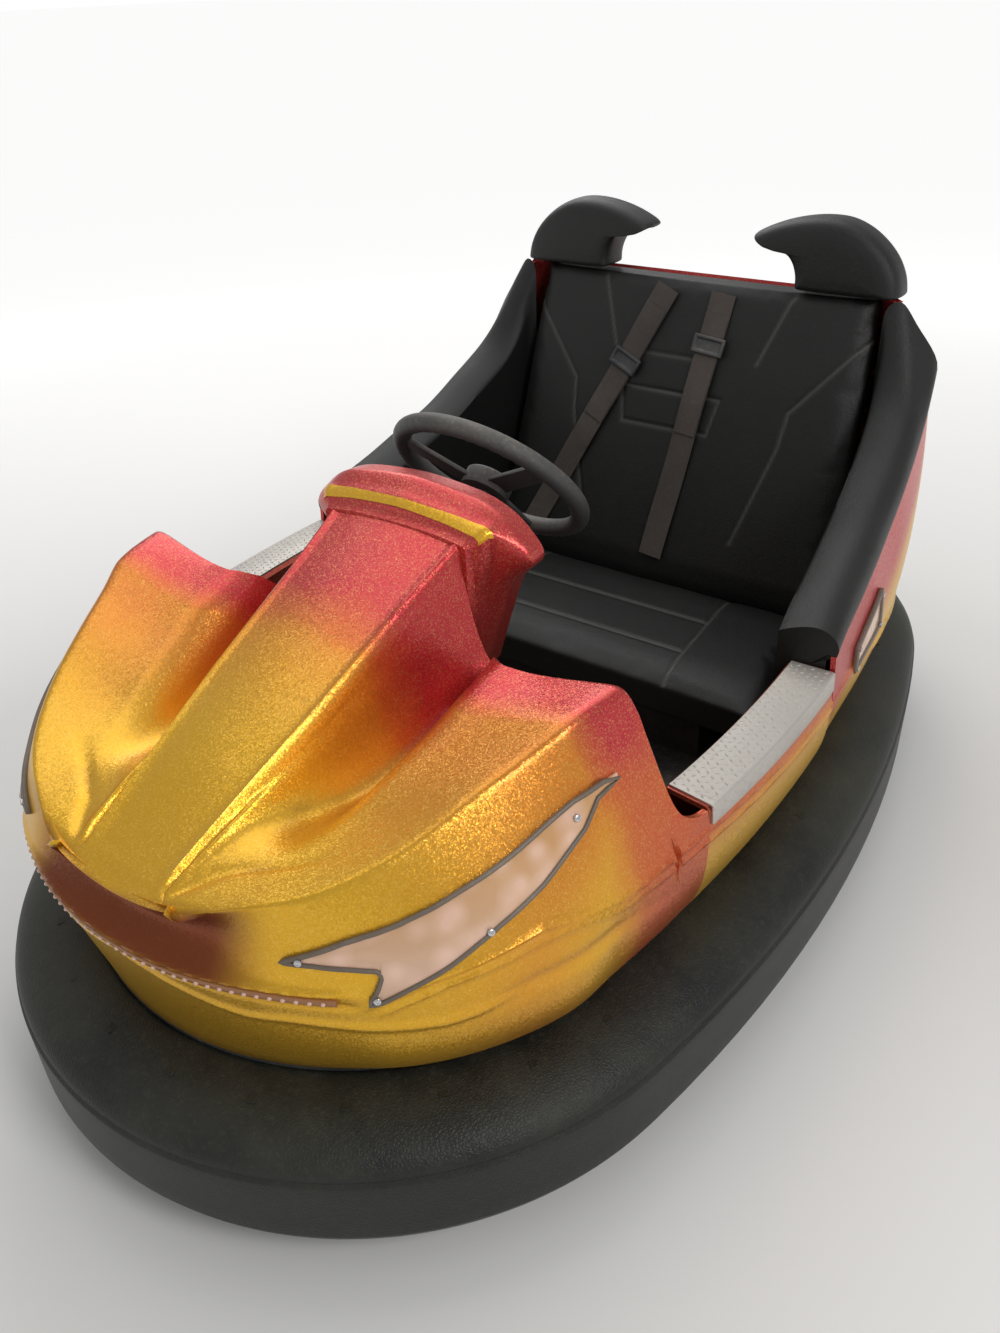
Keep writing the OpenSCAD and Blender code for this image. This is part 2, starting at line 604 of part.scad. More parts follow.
// Steps out from the shell's upper edge, and up as a share of the pad's rise
pad_low = 300;
pad_foot_in = 45;
pad_lap = 14;
pad_tuck = 40;
pad_section = [[2, 0.38], [-8, 0.76], [-30, 1], [-58, 0.9]];
module seat_bolster(side) {
  rings = [for (t = pad_angles) let (z = form(t, 2), r = rise(t),
    pt = function (out, up) let (p = ring_xy(t, form(t, 1) + out)) [p.x, p.y, min(up, back_h)])
    concat([pt(1, z + 1)],
      [for (q = pad_section) pt(q[0] - pad_lean * q[1] * max(0, r - pad_roll), z + q[1] * r)],
      [pt(-pad_in(t), z + r / 2), pt(-pad_in(t), pad_low), pt(-pad_foot_in, pad_low),
        pt(-pad_lap, z - pad_tuck), pt(-pad_lap, z + 1)])];
  color("#1c1d1e") mirror([side < 0 ? 1 : 0, 0, 0]) loft(rings);
}
module seat_bolster_left() { seat_bolster(1); }
module seat_bolster_right() { seat_bolster(-1); }

// The headrest: a fin that curls inwards, drawn in the plane across the car
rest_in = 187;
rest_out = 374;
rest_dome = 140;
rest_hook = 72;
rest_tip = 102;
rest_steps = 8;
rest_outline = concat(
  [for (k = [0 : rest_steps]) let (a = 90 * k / rest_steps)
    [rest_out - rest_dome * (1 - cos(a)), headrest_h * sin(a)]],
  [[rest_tip + 100, headrest_h - 3], [rest_tip + 48, headrest_h - 16], [rest_tip + 5, headrest_h - 34],
    [rest_tip, headrest_h - 40], [rest_tip + 4, rest_hook + 2]],
  [for (k = [0 : rest_steps]) let (a = 90 - 90 * k / rest_steps)
    [rest_in - rest_hook * (1 - cos(a)), rest_hook * sin(a)]]
);
rest_depth = back_t + 20;
// Its front and rear faces are rounded: place along the depth, and size about the fin's root
rest_root = 250;
rest_rings = [[0, 0.9], [0.12, 0.98], [0.3, 1], [0.7, 1], [0.88, 0.98], [1, 0.9]];
module headrest(side) {
  rings = [for (r = rest_rings) [for (p = rest_outline)
    [rest_root + (p.x - rest_root) * r[1], r[0] * rest_depth, p.y * r[1]]]];
  color("#1c1d1e") mirror([side < 0 ? 1 : 0, 0, 0])
    translate([0, back_behind - rest_depth, back_h + seat]) loft(rings);
}
module headrest_left() { headrest(1); }
module headrest_right() { headrest(-1); }

// Belts lie on the face of the seat back: top and foot of each, from the centre line
belt_left_x = [62, 7];
belt_right_x = [-42, -285];
module belt(ends) {
  lean = atan((back_top_y - back_foot) / (back_h - cushion_top));
  run = (back_h - cushion_top) / cos(lean) - 12;
  slant = atan((ends[0] - ends[1]) / run);
  color("#2b2523") translate([0, back_foot - seat, cushion_top + 4]) rotate([-lean, 0, 0])
    translate([ends[1], -belt_t, 0]) rotate([0, slant, 0]) translate([-belt_w / 2, 0, 8])
      cube([belt_w, belt_t, run - 30]);
}
module belt_left() { belt(belt_left_x); }
module belt_right() { belt(belt_right_x); }

// Tread plates of the sills, with a flange over the outer edge
tread_t = 3;
tread_flange = 27;
tread_in = 6;
module tread_plate(side) {
  top = sill_h + seat;
  edge = seat - sill_in;
  foot = sill_d(sill_h - tread_flange) + seat;
  color("#b9bcc0") mirror([side < 0 ? 1 : 0, 0, 0]) along_side(door_front_deg + 0.1, door_rear_deg - 0.1)
    polygon([[tread_in - sill_in - sill_w, top], [tread_in - sill_in - sill_w, top + tread_t],
      [edge + tread_t, top + tread_t],
      [foot + tread_t, sill_h - tread_flange], [foot, sill_h - tread_flange], [edge, top]]);
}
module tread_plate_left() { tread_plate(1); }
module tread_plate_right() { tread_plate(-1); }

// The headlamps: angle from the front, height of the lower and upper edge
lamp_form = [
  [29, 461, 463], [30, 460, 465], [33, 458, 474], [36, 457, 481], [39, 455, 488], [42, 420, 493],
  [45, 428, 499], [48, 439, 505], [51, 449, 512], [54, 460, 519], [57, 472, 526], [60, 482, 534],
  [63, 491, 542], [66, 500, 550], [69, 510, 557], [72, 523, 565], [75, 537, 570], [79, 566, 575]
];
lamp_t = 4;
lamp_gap = 0.8;
lamp_rows = 6;
lamp_angles = concat([lamp_form[0][0]],
  [for (t = cowl_half) if (t > lamp_form[0][0] && t < lamp_form[len(lamp_form) - 1][0]) t],
  [lamp_form[len(lamp_form) - 1][0]]);
module headlamp(side) {
  color("#e8a890") mirror([side < 0 ? 1 : 0, 0, 0])
    flank_patch(lamp_angles, [for (t = lamp_angles) curve(lamp_form, t, 1)],
      [for (t = lamp_angles) curve(lamp_form, t, 2)], lamp_gap, lamp_gap + lamp_t, lamp_rows);
}
module headlamp_left() { headlamp(1); }
module headlamp_right() { headlamp(-1); }

// The side lamps: each station's number along the pad, height of the lower and upper edge
side_lamp_form = [[3, 395, 435], [4, 403, 450], [5, 411, 466], [6, 419, 482]];
module side_lamp(side) {
  color("#7a3030") mirror([side < 0 ? 1 : 0, 0, 0])
    flank_patch([for (r = side_lamp_form) pad_angles[r[0]]], [for (r = side_lamp_form) r[1]],
      [for (r = side_lamp_form) r[2]], lamp_gap, lamp_gap + lamp_t, 3);
}
module side_lamp_left() { side_lamp(1); }
module side_lamp_right() { side_lamp(-1); }

strip_h = 11;
strip_t = 3;
strip_deg = 37;
strip_low = 4;
module nose_light_strip() {
  angles = [for (t = cowl_angles) if (abs(t) < strip_deg) t];
  color("#e8d8d0") flank_patch(angles, [for (t = angles) form(t, 5) - strip_low - strip_h],
    [for (t = angles) form(t, 5) - strip_low], lamp_gap, lamp_gap + strip_t);
}
tail_strip_hs = [425, 345];
module tail_light_strips() {
  angles = [for (t = tail_angles) if (t > tail_start - 0.1 && t < 360.1 - tail_start) t];
  color("#e8c070") for (h = tail_strip_hs)
    flank_patch(angles, [for (t = angles) h], [for (t = angles) h + strip_h], lamp_gap, lamp_gap + strip_t);
}

pedal_x = -110;
pedal_y = -255;
module pedal() {
  color("#55585b") translate([pedal_x - 40, pedal_y, floor_top + seat]) {
    cube([80, 120, 4]);
    translate([0, 0, 3]) rotate([28, 0, 0]) cube([80, 110, 5]);
  }
}

// Everything below the kingpin turns with the steering
cheek_t = 8;
cheek_in = drive_w / 2 + 10;
fork_top = turret_h - 10;
crown_r = 95;
crown_t = 8;
bearing_r = 60;
pin_over = 8;
cheek_len = 70;
cheek_drop = 25;
axle_r = 12;
module drive_fork() {
  color("#5a5d60") translate([0, -drive_fore, 0]) {
    translate([0, 0, fork_top - crown_t]) cylinder(r = crown_r, h = crown_t);
    translate([0, 0, fork_top - 1]) cylinder(r = bearing_r, h = turret_h - fork_top + 1 - seat);
    translate([0, 0, fork_top - 1]) cylinder(r = kingpin_r, h = turret_h + boss_h + pin_over - fork_top + 1);
    for (s = [-1, 1])
      translate([s * (cheek_in + cheek_t / 2) - cheek_t / 2, -cheek_len / 2, drive_r - cheek_drop])
      cube([cheek_t, cheek_len, fork_top - drive_r + cheek_drop - 5]);
    translate([-cheek_in - cheek_t, 0, drive_r]) rotate([0, 90, 0])
      cylinder(r = axle_r, h = 2 * cheek_in + 2 * cheek_t);
  }
}
motor_cap = 14;
motor_step = 10;
module drive_motor() {
  color("#3f5a3c") translate([cheek_in + cheek_t + seat, -drive_fore, drive_r]) rotate([0, 90, 0]) {
    cylinder(r = motor_r, h = motor_len - motor_cap);
    cylinder(r = motor_r - motor_step, h = motor_len);
  }
}

module wheel_core(r, w, hub, bore) {
  rotate([0, 90, 0]) rotate_extrude()
    polygon([[bore, -w / 2 - 5], [hub, -w / 2 - 5], [hub, -w / 8], [r - 12, -w / 8],
      [r - 12, -w / 2], [r, -w / 2], [r, w / 2], [r - 12, w / 2], [r - 12, w / 8], [hub, w / 8],
      [hub, w / 2 + 5], [bore, w / 2 + 5]]);
}
module wheel_tread(r_in, r_out, w) {
  rotate([0, 90, 0]) rotate_extrude()
    polygon([[r_in, -w / 2], [r_out - 6, -w / 2], [r_out, -w / 2 + 8], [r_out, w / 2 - 8],
      [r_out - 6, w / 2], [r_in, w / 2]]);
}
module drive_wheel() {
  color("#8a8d90") translate([0, -drive_fore, drive_r])
    wheel_core(drive_hub_r, drive_w - 6, 30, axle_r + run_gap);
}
module drive_tyre() {
  color("#202224") translate([0, -drive_fore, drive_r]) wheel_tread(drive_hub_r, drive_r, drive_w);
}

// The rear wheels, each in a bracket under the pan
rear_hub_r = rear_r - 15;
ear_t = 4;
ear_in = rear_w / 2 + 6;
ear_len = 48;
ear_drop = 16;
foot_t = 4;
foot_out = 14;
foot_len = 96;
pin_end = 4;
module rear_bracket(side) {
  color("#8a8d90") translate([side * rear_x, rear_aft, 0]) {
    translate([-ear_in - foot_out, -foot_len / 2, pan_h - foot_t])
      cube([2 * (ear_in + foot_out), foot_len, foot_t]);
    for (s = [-1, 1]) translate([s * (ear_in + ear_t / 2) - ear_t / 2, -ear_len / 2, rear_r - ear_drop])
      cube([ear_t, ear_len, pan_h - rear_r + ear_drop - foot_t / 2]);
    translate([-ear_in - ear_t - pin_end, 0, rear_r]) rotate([0, 90, 0])
      cylinder(r = pin_r, h = 2 * (ear_in + ear_t + pin_end));
  }
}
module rear_bracket_left() { rear_bracket(1); }
module rear_bracket_right() { rear_bracket(-1); }
module rear_wheel(side) {
  color("#9a9da0") translate([side * rear_x, rear_aft, rear_r])
    wheel_core(rear_hub_r, rear_w - 4, 20, pin_r + run_gap);
}
module rear_wheel_left() { rear_wheel(1); }
module rear_wheel_right() { rear_wheel(-1); }
module rear_tyre(side) {
  color("#202224") translate([side * rear_x, rear_aft, rear_r]) wheel_tread(rear_hub_r, rear_r, rear_w);
}
module rear_tyre_left() { rear_tyre(1); }
module rear_tyre_right() { rear_tyre(-1); }

bumper_tyre();
bumper_rim();
chassis_pan();
chassis_rails();
drive_turret();
body_front();
body_sill_left();
body_sill_right();
body_rear();
dash_panel();
cockpit_floor();
battery_box();
seat_base();
seat_back();
seat_bolster_left();
seat_bolster_right();
headrest_left();
headrest_right();
belt_left();
belt_right();
tread_plate_left();
tread_plate_right();
headlamp_left();
headlamp_right();
side_lamp_left();
side_lamp_right();
nose_light_strip();
tail_light_strips();
pedal();
steering_column();
steering_wheel();
drive_fork();
drive_motor();
drive_wheel();
drive_tyre();
rear_bracket_left();
rear_bracket_right();
rear_wheel_left();
rear_wheel_right();
rear_tyre_left();
rear_tyre_right();
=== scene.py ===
"""Two-seat fairground bumper car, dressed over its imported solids.

Front faces -Y, the driver's left is +X, the floor is z = 0 and lengths are metres.
"""
import itertools
import logging
from dataclasses import dataclass
from enum import Enum
from math import acos, asin, atan2, copysign, cos, degrees, dist, exp, hypot, pi, radians, sin, sqrt
from typing import Callable, Iterable, Optional, Sequence

import bpy
import numpy as np
from mathutils import Matrix, Vector


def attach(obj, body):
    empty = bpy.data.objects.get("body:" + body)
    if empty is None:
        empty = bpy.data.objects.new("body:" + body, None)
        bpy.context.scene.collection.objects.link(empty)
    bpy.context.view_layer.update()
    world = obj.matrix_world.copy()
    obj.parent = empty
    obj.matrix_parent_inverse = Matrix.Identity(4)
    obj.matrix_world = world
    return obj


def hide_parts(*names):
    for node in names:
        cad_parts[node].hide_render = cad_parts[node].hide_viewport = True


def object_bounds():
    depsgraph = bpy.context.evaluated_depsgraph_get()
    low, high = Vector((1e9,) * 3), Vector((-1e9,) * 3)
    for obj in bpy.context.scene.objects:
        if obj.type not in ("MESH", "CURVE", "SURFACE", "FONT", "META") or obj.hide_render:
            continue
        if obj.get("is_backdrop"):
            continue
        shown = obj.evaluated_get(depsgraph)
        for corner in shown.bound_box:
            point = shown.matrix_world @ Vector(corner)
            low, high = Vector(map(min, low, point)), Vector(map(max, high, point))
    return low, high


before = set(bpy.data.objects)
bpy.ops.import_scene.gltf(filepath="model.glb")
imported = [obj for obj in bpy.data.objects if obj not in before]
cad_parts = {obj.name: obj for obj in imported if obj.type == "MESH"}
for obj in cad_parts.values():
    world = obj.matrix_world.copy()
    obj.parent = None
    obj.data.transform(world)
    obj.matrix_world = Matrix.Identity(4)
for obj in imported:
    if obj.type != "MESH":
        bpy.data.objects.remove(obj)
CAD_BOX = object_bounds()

LOG = logging.getLogger("bumper_car")
Point = tuple[float, float, float]
Colour = tuple[float, float, float]
Table = Sequence[Sequence[float]]
Pairs = tuple[tuple[float, float], ...]
Step = Callable[[], object]
Material = bpy.types.Material
Node = bpy.types.Node
Piece = bpy.types.Object
Socket = bpy.types.NodeSocket
Tree = bpy.types.NodeTree

ZONE = "Zone"
VALUE = "NodeSocketFloat"
REAR_FROM = 87.0


class Side(Enum):
    """The two sides of the car."""

    LEFT = 1
    RIGHT = -1

    @property
    def word(self) -> str:
        """The side's word in the names of pieces."""
        return self.name.lower()


# Curves and the outline

def ease(x: float) -> float:
    """Smooth step from 0 to 1."""
    u = min(max(x, 0.0), 1.0)
    return u * u * (3 - 2 * u)


def bump(x: float, width: float) -> float:
    """A rounded ridge of height 1 at x = 0."""
    return exp(-(x / width) ** 2)


def curve(table: Table, x: float, column: int) -> float:
    """Reads a smooth curve through a table.

    Args:
        table: rows that start with their place.
        x: the place to read.
        column: which value of the rows to read.

    Returns:
        The value there, held at the table's ends.
    """
    q = min(max(x, table[0][0]), table[-1][0])
    i = 0
    while i < len(table) - 2 and q >= table[i + 1][0]:
        i += 1

    def slope(k: int) -> float:
        a, b = max(k - 1, 0), min(k + 1, len(table) - 1)
        return (table[b][column] - table[a][column]) / (table[b][0] - table[a][0])

    h = table[i + 1][0] - table[i][0]
    u = (q - table[i][0]) / h
    v = 1 - u
    return (v * v * (1 + 2 * u) * table[i][column] + u * u * (1 + 2 * v) * table[i + 1][column]
            + h * u * v * (v * slope(i) - u * slope(i + 1)))


def polyline(path: Table, x: float, column: int = 1) -> float:
    """Reads a table by straight lines between its rows."""
    if x <= path[0][0]:
        return path[0][column]
    for a, b in zip(path, path[1:]):
        if x <= b[0]:
            return a[column] + (b[column] - a[column]) * (x - a[0]) / (b[0] - a[0])
    return path[-1][column]


def spline(knots: Table, steps: int) -> list[tuple[float, float]]:
    """A smooth curve through knots in a plane.

    Args:
        knots: the points that it passes.
        steps: points from each knot to the next.

    Returns:
        The curve's points, the last knot among them.
    """
    pts = []
    last = len(knots) - 1
    for i in range(last):
        near = [knots[min(max(i + k, 0), last)] for k in (-1, 0, 1, 2)]
        for s in range(steps):
            u = s / steps
            pts.append(tuple(.5 * (2 * b + (c - a) * u + (2 * a - 5 * b + 4 * c - d) * u * u
                                   + (3 * b - a - 3 * c + d) * u ** 3) for a, b, c, d in zip(*near)))
    return pts + [tuple(knots[-1])]


class Outline:
    """The bumper's plan: nose, side and tail arcs that meet at tangents."""

    def __init__(self, length: float = 1.960, width: float = 1.180,
                 nose_short: float = 0.040, tail_short: float = 0.070) -> None:
        """Solves the side arc between the nose's and the tail's.

        Args:
            length: over the rubber.
            width: over the rubber.
            nose_short: how much less than half the width the nose's radius is.
            tail_short: how much less than half the width the tail's radius is.
        """
        self.length = length
        self.half_w = half = width / 2
        self.nose_r = nr = half - nose_short
        self.tail_r = tr = half - tail_short
        self.nose_y = length / 2 - nr
        self.tail_y = length / 2 - tr
        k = (half - tr) / (half - nr)
        a = k - 1
        b = 2 * k * self.nose_y + 2 * self.tail_y
        c = k * (self.nose_y ** 2 + half ** 2 - nr ** 2) - self.tail_y ** 2 - half ** 2 + tr ** 2
        self.side_y = -2 * c / (b + sqrt(b * b - 4 * a * c))
        self.side_r = ((self.side_y + self.nose_y) ** 2 + half ** 2 - nr ** 2) / (2 * (half - nr))
        self.nose_deg = 90 + degrees(asin((-self.nose_y - self.side_y) / (self.side_r - nr)))
        self.tail_deg = 90 + degrees(asin((self.tail_y - self.side_y) / (self.side_r - tr)))

    def at(self, angle: float, out: float) -> tuple[float, float]:
        """A point of the plan.

        Args:
            angle: degrees from the front, positive to +X.
            out: how far outside the bumper's face.

        Returns:
            Its x and y.
        """
        a = angle - 360 if angle > 180 else angle
        s = -1.0 if a < 0 else 1.0
        r = radians(abs(a))
        if abs(a) <= self.nose_deg:
            return s * (self.nose_r + out) * sin(r), -self.nose_y - (self.nose_r + out) * cos(r)
        if abs(a) <= self.tail_deg:
            return (s * (self.half_w - self.side_r + (self.side_r + out) * sin(r)),
                    self.side_y - (self.side_r + out) * cos(r))
        return s * (self.tail_r + out) * sin(r), self.tail_y - (self.tail_r + out) * cos(r)

    def nose_angle(self, x: float, y: float) -> float:
        """Degrees from the front, about the nose arc's middle."""
        return degrees(atan2(x, -(y + self.nose_y)))

    def side_angle(self, y: float, out: float) -> float:
        """The side arc's angle at a place along the car."""
        return 90 + degrees(asin((y - self.side_y) / (self.side_r + out)))


@dataclass(frozen=True)
class Line:
    """A rib or groove that runs along the cowls: its path in degrees and metres, width and height."""

    path: Pairs
    width: float
    height: float
    fade: float = 3.0

    def lift(self, angle: float, z: float) -> float:
        """How far the line raises the flank at a place."""
        a, b = self.path[0][0], self.path[-1][0]
        if not a <= angle <= b:
            return 0.0
        rise = ease((angle - a) / self.fade) if a > 0 else 1.0
        fall = ease((b - angle) / self.fade) if b < 180 else 1.0
        return self.height * rise * fall * bump(z - polyline(self.path, angle), self.width)


@dataclass
class Cowls:
    """The painted flank all round the car, as the part's solids have it, with its ribs and creases."""

    outline: Outline
    skirt_in: float = 0.121
    skirt_h: float = 0.2413
    sill_in: float = 0.075
    sill_w: float = 0.070
    sill_h: float = 0.457
    sill_bulge: float = 0.026
    hood_rear: float = 0.430
    door_front: float = 0.350
    door_rear: float = 0.020
    back_top_y: float = 0.560
    wall: float = 0.008
    lines: tuple[Line, ...] = (
        Line(((38, .394), (41.4, .412), (48.4, .434), (63.8, .455), (66.4, .452), (80, .427), (82.2, .424),
              (86, .412), (100, .395)), .0032, .0034),
        Line(((40, .386), (44, .404), (50, .422), (63.8, .440), (70, .436), (80, .412), (86, .398),
              (100, .38)), .0032, .003),
        Line(((0, .4275), (24, .4275), (36, .424), (40, .418)), .0045, .004, 6),
        Line(((0, .4065), (24, .406), (36, .4045), (40, .402)), .0042, -.0042, 4),
        Line(((0, .404), (9.4, .383), (15.8, .371), (21.8, .365), (29, .373), (38, .371), (50, .371),
              (59.6, .383), (65.6, .389)), .006, .0035, 8),
        Line(((53.6, .374), (63, .390), (78.2, .389), (82, .360)), .010, -.004, 6),
        Line(((92, .40), (98, .385), (106, .352), (180, .350)), .005, .005),
        Line(((107, .431), (180, .431)), .006, .006),
    )
    tip: Pairs = ((0, 0), (.22, .01), (.33, .03), (.38, .12), (.41, .4), (.44, .65),
                                            (.5, .82), (.6, .92), (.8, .99), (1, 1))

    def __post_init__(self) -> None:
        """Works out the angles at which the forms meet, and the forms by angle.

        A row of the front's is its angle, the crest's offset and height, the swell above the belt line, the
        belt line's offset and height and the swell below it; of the rear's, its angle, the edge's offset and
        height, the swell and where it is fullest.
        """
        o = self.outline
        self.door_front_deg = o.side_angle(-self.door_front, -self.skirt_in)
        self.door_rear_deg = o.side_angle(self.door_rear, -self.skirt_in)
        self.wing_deg = o.side_angle(-self.hood_rear, -self.sill_in)
        self.tip_start = self.wing_deg - 1.1
        self.pad_end = o.side_angle(self.back_top_y + 0.010, -self.sill_in)
        self.tail_start = self.pad_end + 0.4
        mm = 0.001
        front = ((0, -98, 486, -18, -84, 425, -4), (12, -95, 498, -18, -82, 425, -2),
                 (24, -105, 519, -6, -80, 425, 6), (34, -113, 536, 2, -76, 424, 14),
                 (42, -126, 554, 4, -72, 417, 24), (50, -141, 575, 4, -72, 438, 32),
                 (60, -157, 602, 4, -75, 456, 38), (70, -160, 624, 4, -74, 450, 38),
                 (78, -153, 646, 4, -71, 432, 26), (82, -153, 657, 4, -71, 424, 22))
        rear = ((self.door_rear_deg, -75, 483, 26, .75), (93, -79, 497, 25, .75), (95, -81, 514, 28, .75),
                (97, -80, 538, 34, .75), (99, -78, 562, 39, .75), (101, -72, 597, 43, .75),
                (104, -63, 656, 44, .75), (self.pad_end - 0.1, -60, 701, 43, .75),
                (self.pad_end, -60, 702, 43, .75), (self.tail_start, -132, 850, 77, 1.15),
                (110, -142, 840, 82, 1.15), (120, -168, 816, 92, 1.1), (140, -190, 794, 96, 1.05),
                (180, -204, 786, 97, 1))
        self.front = tuple((r[0],) + tuple(v * mm for v in r[1:]) for r in front)
        self.rear = tuple((r[0],) + tuple(v * mm for v in r[1:4]) + (r[4],) for r in rear)

    def form(self, angle: float, column: int) -> float:
        """A value of the cowl's form at an angle."""
        a = abs(angle - 360 if angle > 180 else angle)
        return curve(self.front if a < REAR_FROM else self.rear, a, column)

    @staticmethod
    def swell(v: float, height: float, rise: float = 0.75) -> float:
        """A bulge between v = 0 and v = 1."""
        return height * sin(pi * max(v, 0.0) ** rise)

    def sill_offset(self, z: float) -> float:
        """The sill's flank, as an offset from the bumper's face."""
        v = (z - self.skirt_h) / (self.sill_h - self.skirt_h)
        return -self.skirt_in + (self.skirt_in - self.sill_in) * v + self.swell(v, self.sill_bulge)

    def offset(self, angle: float, z: float, fine: bool = True) -> float:
        """The flank's offset from the bumper's face.

        Args:
            angle: degrees from the front.
            z: height.
            fine: whether ribs and creases count.

        Returns:
            The offset, negative inwards.
        """
        a = abs(angle - 360 if angle > 180 else angle)
        if a > REAR_FROM:
            edge = self.form(angle, 2)
            v = (z - self.skirt_h) / (edge - self.skirt_h)
            d = (-self.skirt_in + (self.form(angle, 1) + self.skirt_in) * v
                 + self.swell(v, self.form(angle, 3), self.form(angle, 4)))
        else:
            belt, crest = self.form(angle, 5), self.form(angle, 2)
            if z < belt:
                v = (z - self.skirt_h) / (belt - self.skirt_h)
                d = -self.skirt_in + (self.form(angle, 4) + self.skirt_in) * v
                d += self.swell(v, self.form(angle, 6))
            else:
                u = (z - belt) / (crest - belt)
                d = self.form(angle, 4) + (self.form(angle, 1) - self.form(angle, 4)) * u
                d += self.form(angle, 3) * sin(pi * u)
            w = ease((a - self.wing_deg) / (self.door_front_deg - self.wing_deg))
            d = d * (1 - w) + self.sill_offset(z) * w
        return d + (sum(line.lift(a, z) for line in self.lines) if fine else 0.0)

    def point(self, angle: float, z: float, out: float = 0.0, fine: bool = True) -> Point:
        """A point of the flank, moved outwards by out."""
        x, y = self.outline.at(angle, self.offset(angle, z, fine) + out)
        return x, y, z

    def top(self, angle: float) -> float:
        """Height of the front cowl's upper edge: the crest, then down the wing's rear edge."""
        p = (abs(angle) - self.tip_start) / (self.door_front_deg - self.tip_start)
        crest = self.form(angle, 2)
        return crest if p <= 0 else crest + (self.sill_h - crest) * curve(self.tip, p, 1)

    def normal(self, angle: float, z: float) -> Vector:
        """The flank's outward normal at a place."""
        places = (angle - .2, z), (angle + .2, z), (angle, z - .004), (angle, z + .004)
        a, b, c, d = (Vector(self.point(*place, fine=False)) for place in places)
        return (b - a).cross(d - c).normalized()


# Workshop: the ways in which pieces are made

def deselect() -> None:
    """Leaves nothing selected."""
    for obj in list(bpy.context.selected_objects):
        obj.select_set(False)


def pick(*objs: Piece) -> None:
    """Selects objects and makes the first the active one."""
    deselect()
    for obj in objs:
        obj.select_set(True)
    bpy.context.view_layer.objects.active = objs[0]


def take(name: str) -> Piece:
    """Names the primitive that was just added.

    Args:
        name: the piece's name.

    Returns:
        The piece.
    """
    obj = bpy.context.view_layer.objects.active
    obj.name = name
    obj.data.name = name
    return obj


def primitive(add: Callable, name: str, **values: object) -> Piece:
    """Adds a mesh primitive under a name by its operator, with nothing else selected."""
    deselect()
    add(**values)
    return take(name)


def settle(obj: Piece, place: Optional[Matrix] = None) -> Piece:
    """Puts an object's place, turn and size into its mesh, at a place of its own where one is given."""
    if place is not None:
        obj.matrix_world = place
    pick(obj)
    bpy.ops.object.transform_apply(location=True, rotation=True, scale=True)
    return obj


def block(name: str, size: Point, place: Point = (0, 0, 0)) -> Piece:
    """A cube primitive stretched to a size at a place, to be shaped further."""
    obj = primitive(bpy.ops.mesh.primitive_cube_add, name, size=1)
    obj.scale = size
    obj.location = place
    return settle(obj)


def edit(obj: Piece, *steps: Step) -> None:
    """Runs edit-mode operators on the whole mesh."""
    pick(obj)
    bpy.ops.object.mode_set(mode="EDIT")
    bpy.ops.mesh.select_mode(type="VERT")
    bpy.ops.mesh.select_all(action="SELECT")
    for step in steps:
        step()
    bpy.ops.object.mode_set(mode="OBJECT")


def face_out() -> None:
    """Turns all the faces' normals outwards."""
    bpy.ops.mesh.select_all(action="SELECT")
    bpy.ops.mesh.normals_make_consistent(inside=False)


def merge(gap: float = 1e-6) -> Step:
    """A step that merges the chosen points that lie within a gap."""
    return lambda: bpy.ops.mesh.remove_doubles(threshold=gap)


def inset(width: float, depth: float = 0.0, each: bool = False) -> Step:
    """A step that insets the chosen faces, together or each by itself."""
    return lambda: bpy.ops.mesh.inset(thickness=width, depth=depth, use_individual=each)


def choose(obj: Piece, test: Callable[[Vector, Vector], bool]) -> None:
    """Selects the faces whose middle and normal pass a test, in object mode."""
    for v in obj.data.vertices:
        v.select = False
    for e in obj.data.edges:
        e.select = False
    for f in obj.data.polygons:
        f.select = test(f.center, f.normal)


def facing_up(middle: Vector, normal: Vector) -> bool:
    """Whether a face is turned up."""
    return normal.z > .9


def shape_faces(obj: Piece, test: Callable[[Vector, Vector], bool], *steps: Step) -> None:
    """Runs edit-mode operators on the faces that pass a test."""
    pick(obj)
    bpy.ops.object.mode_set(mode="EDIT")
    bpy.ops.mesh.select_mode(type="FACE")
    bpy.ops.object.mode_set(mode="OBJECT")
    choose(obj, test)
    bpy.ops.object.mode_set(mode="EDIT")
    for step in steps:
        step()
    bpy.ops.object.mode_set(mode="OBJECT")


def sheet_of(name: str, cols: int, rows: int, at: Callable[[int, int], Sequence[float]],
             wrap: bool = False) -> Piece:
    """Lays a grid primitive over a surface.

    Args:
        name: the piece's name.
        cols: points along the first way.
        rows: points along the second way.
        at: the place of a point by its column and row.
        wrap: whether the last column meets the first.

    Returns:
        The piece, its normals as the grid's.
    """
    n = cols + 1 if wrap else cols
    obj = primitive(bpy.ops.mesh.primitive_grid_add, name, x_subdivisions=n - 1, y_subdivisions=rows - 1)
    flat: list[float] = []
    for j in range(rows):
        for i in range(n):
            flat.extend(at(i % cols if wrap else i, j))
    obj.data.vertices.foreach_set("co", flat)
    obj.data.update()
    if wrap:
        edit(obj, merge())
    return obj


def loft(name: str, rings: Sequence[Sequence[Sequence[float]]]) -> Piece:
    """Closed body through rings of equal numbers of points, its ends drawn to their middles.

    Args:
        name: the piece's name.
        rings: outlines one behind the other.

    Returns:
        The piece, normals outwards.
    """
    def middle(ring: Sequence[Sequence[float]]) -> list[tuple[float, ...]]:
        c = [sum(p[k] for p in ring) / len(ring) for k in range(3)]
        return [tuple(c[k] + (p[k] - c[k]) * 0.02 for k in range(3)) for p in ring]

    full = [middle(rings[0]), *rings, middle(rings[-1])]
    obj = sheet_of(name, len(full[0]), len(full), lambda i, j: full[j][i], wrap=True)
    edit(obj, lambda: bpy.ops.mesh.fill_holes(sides=0), face_out)
    return obj


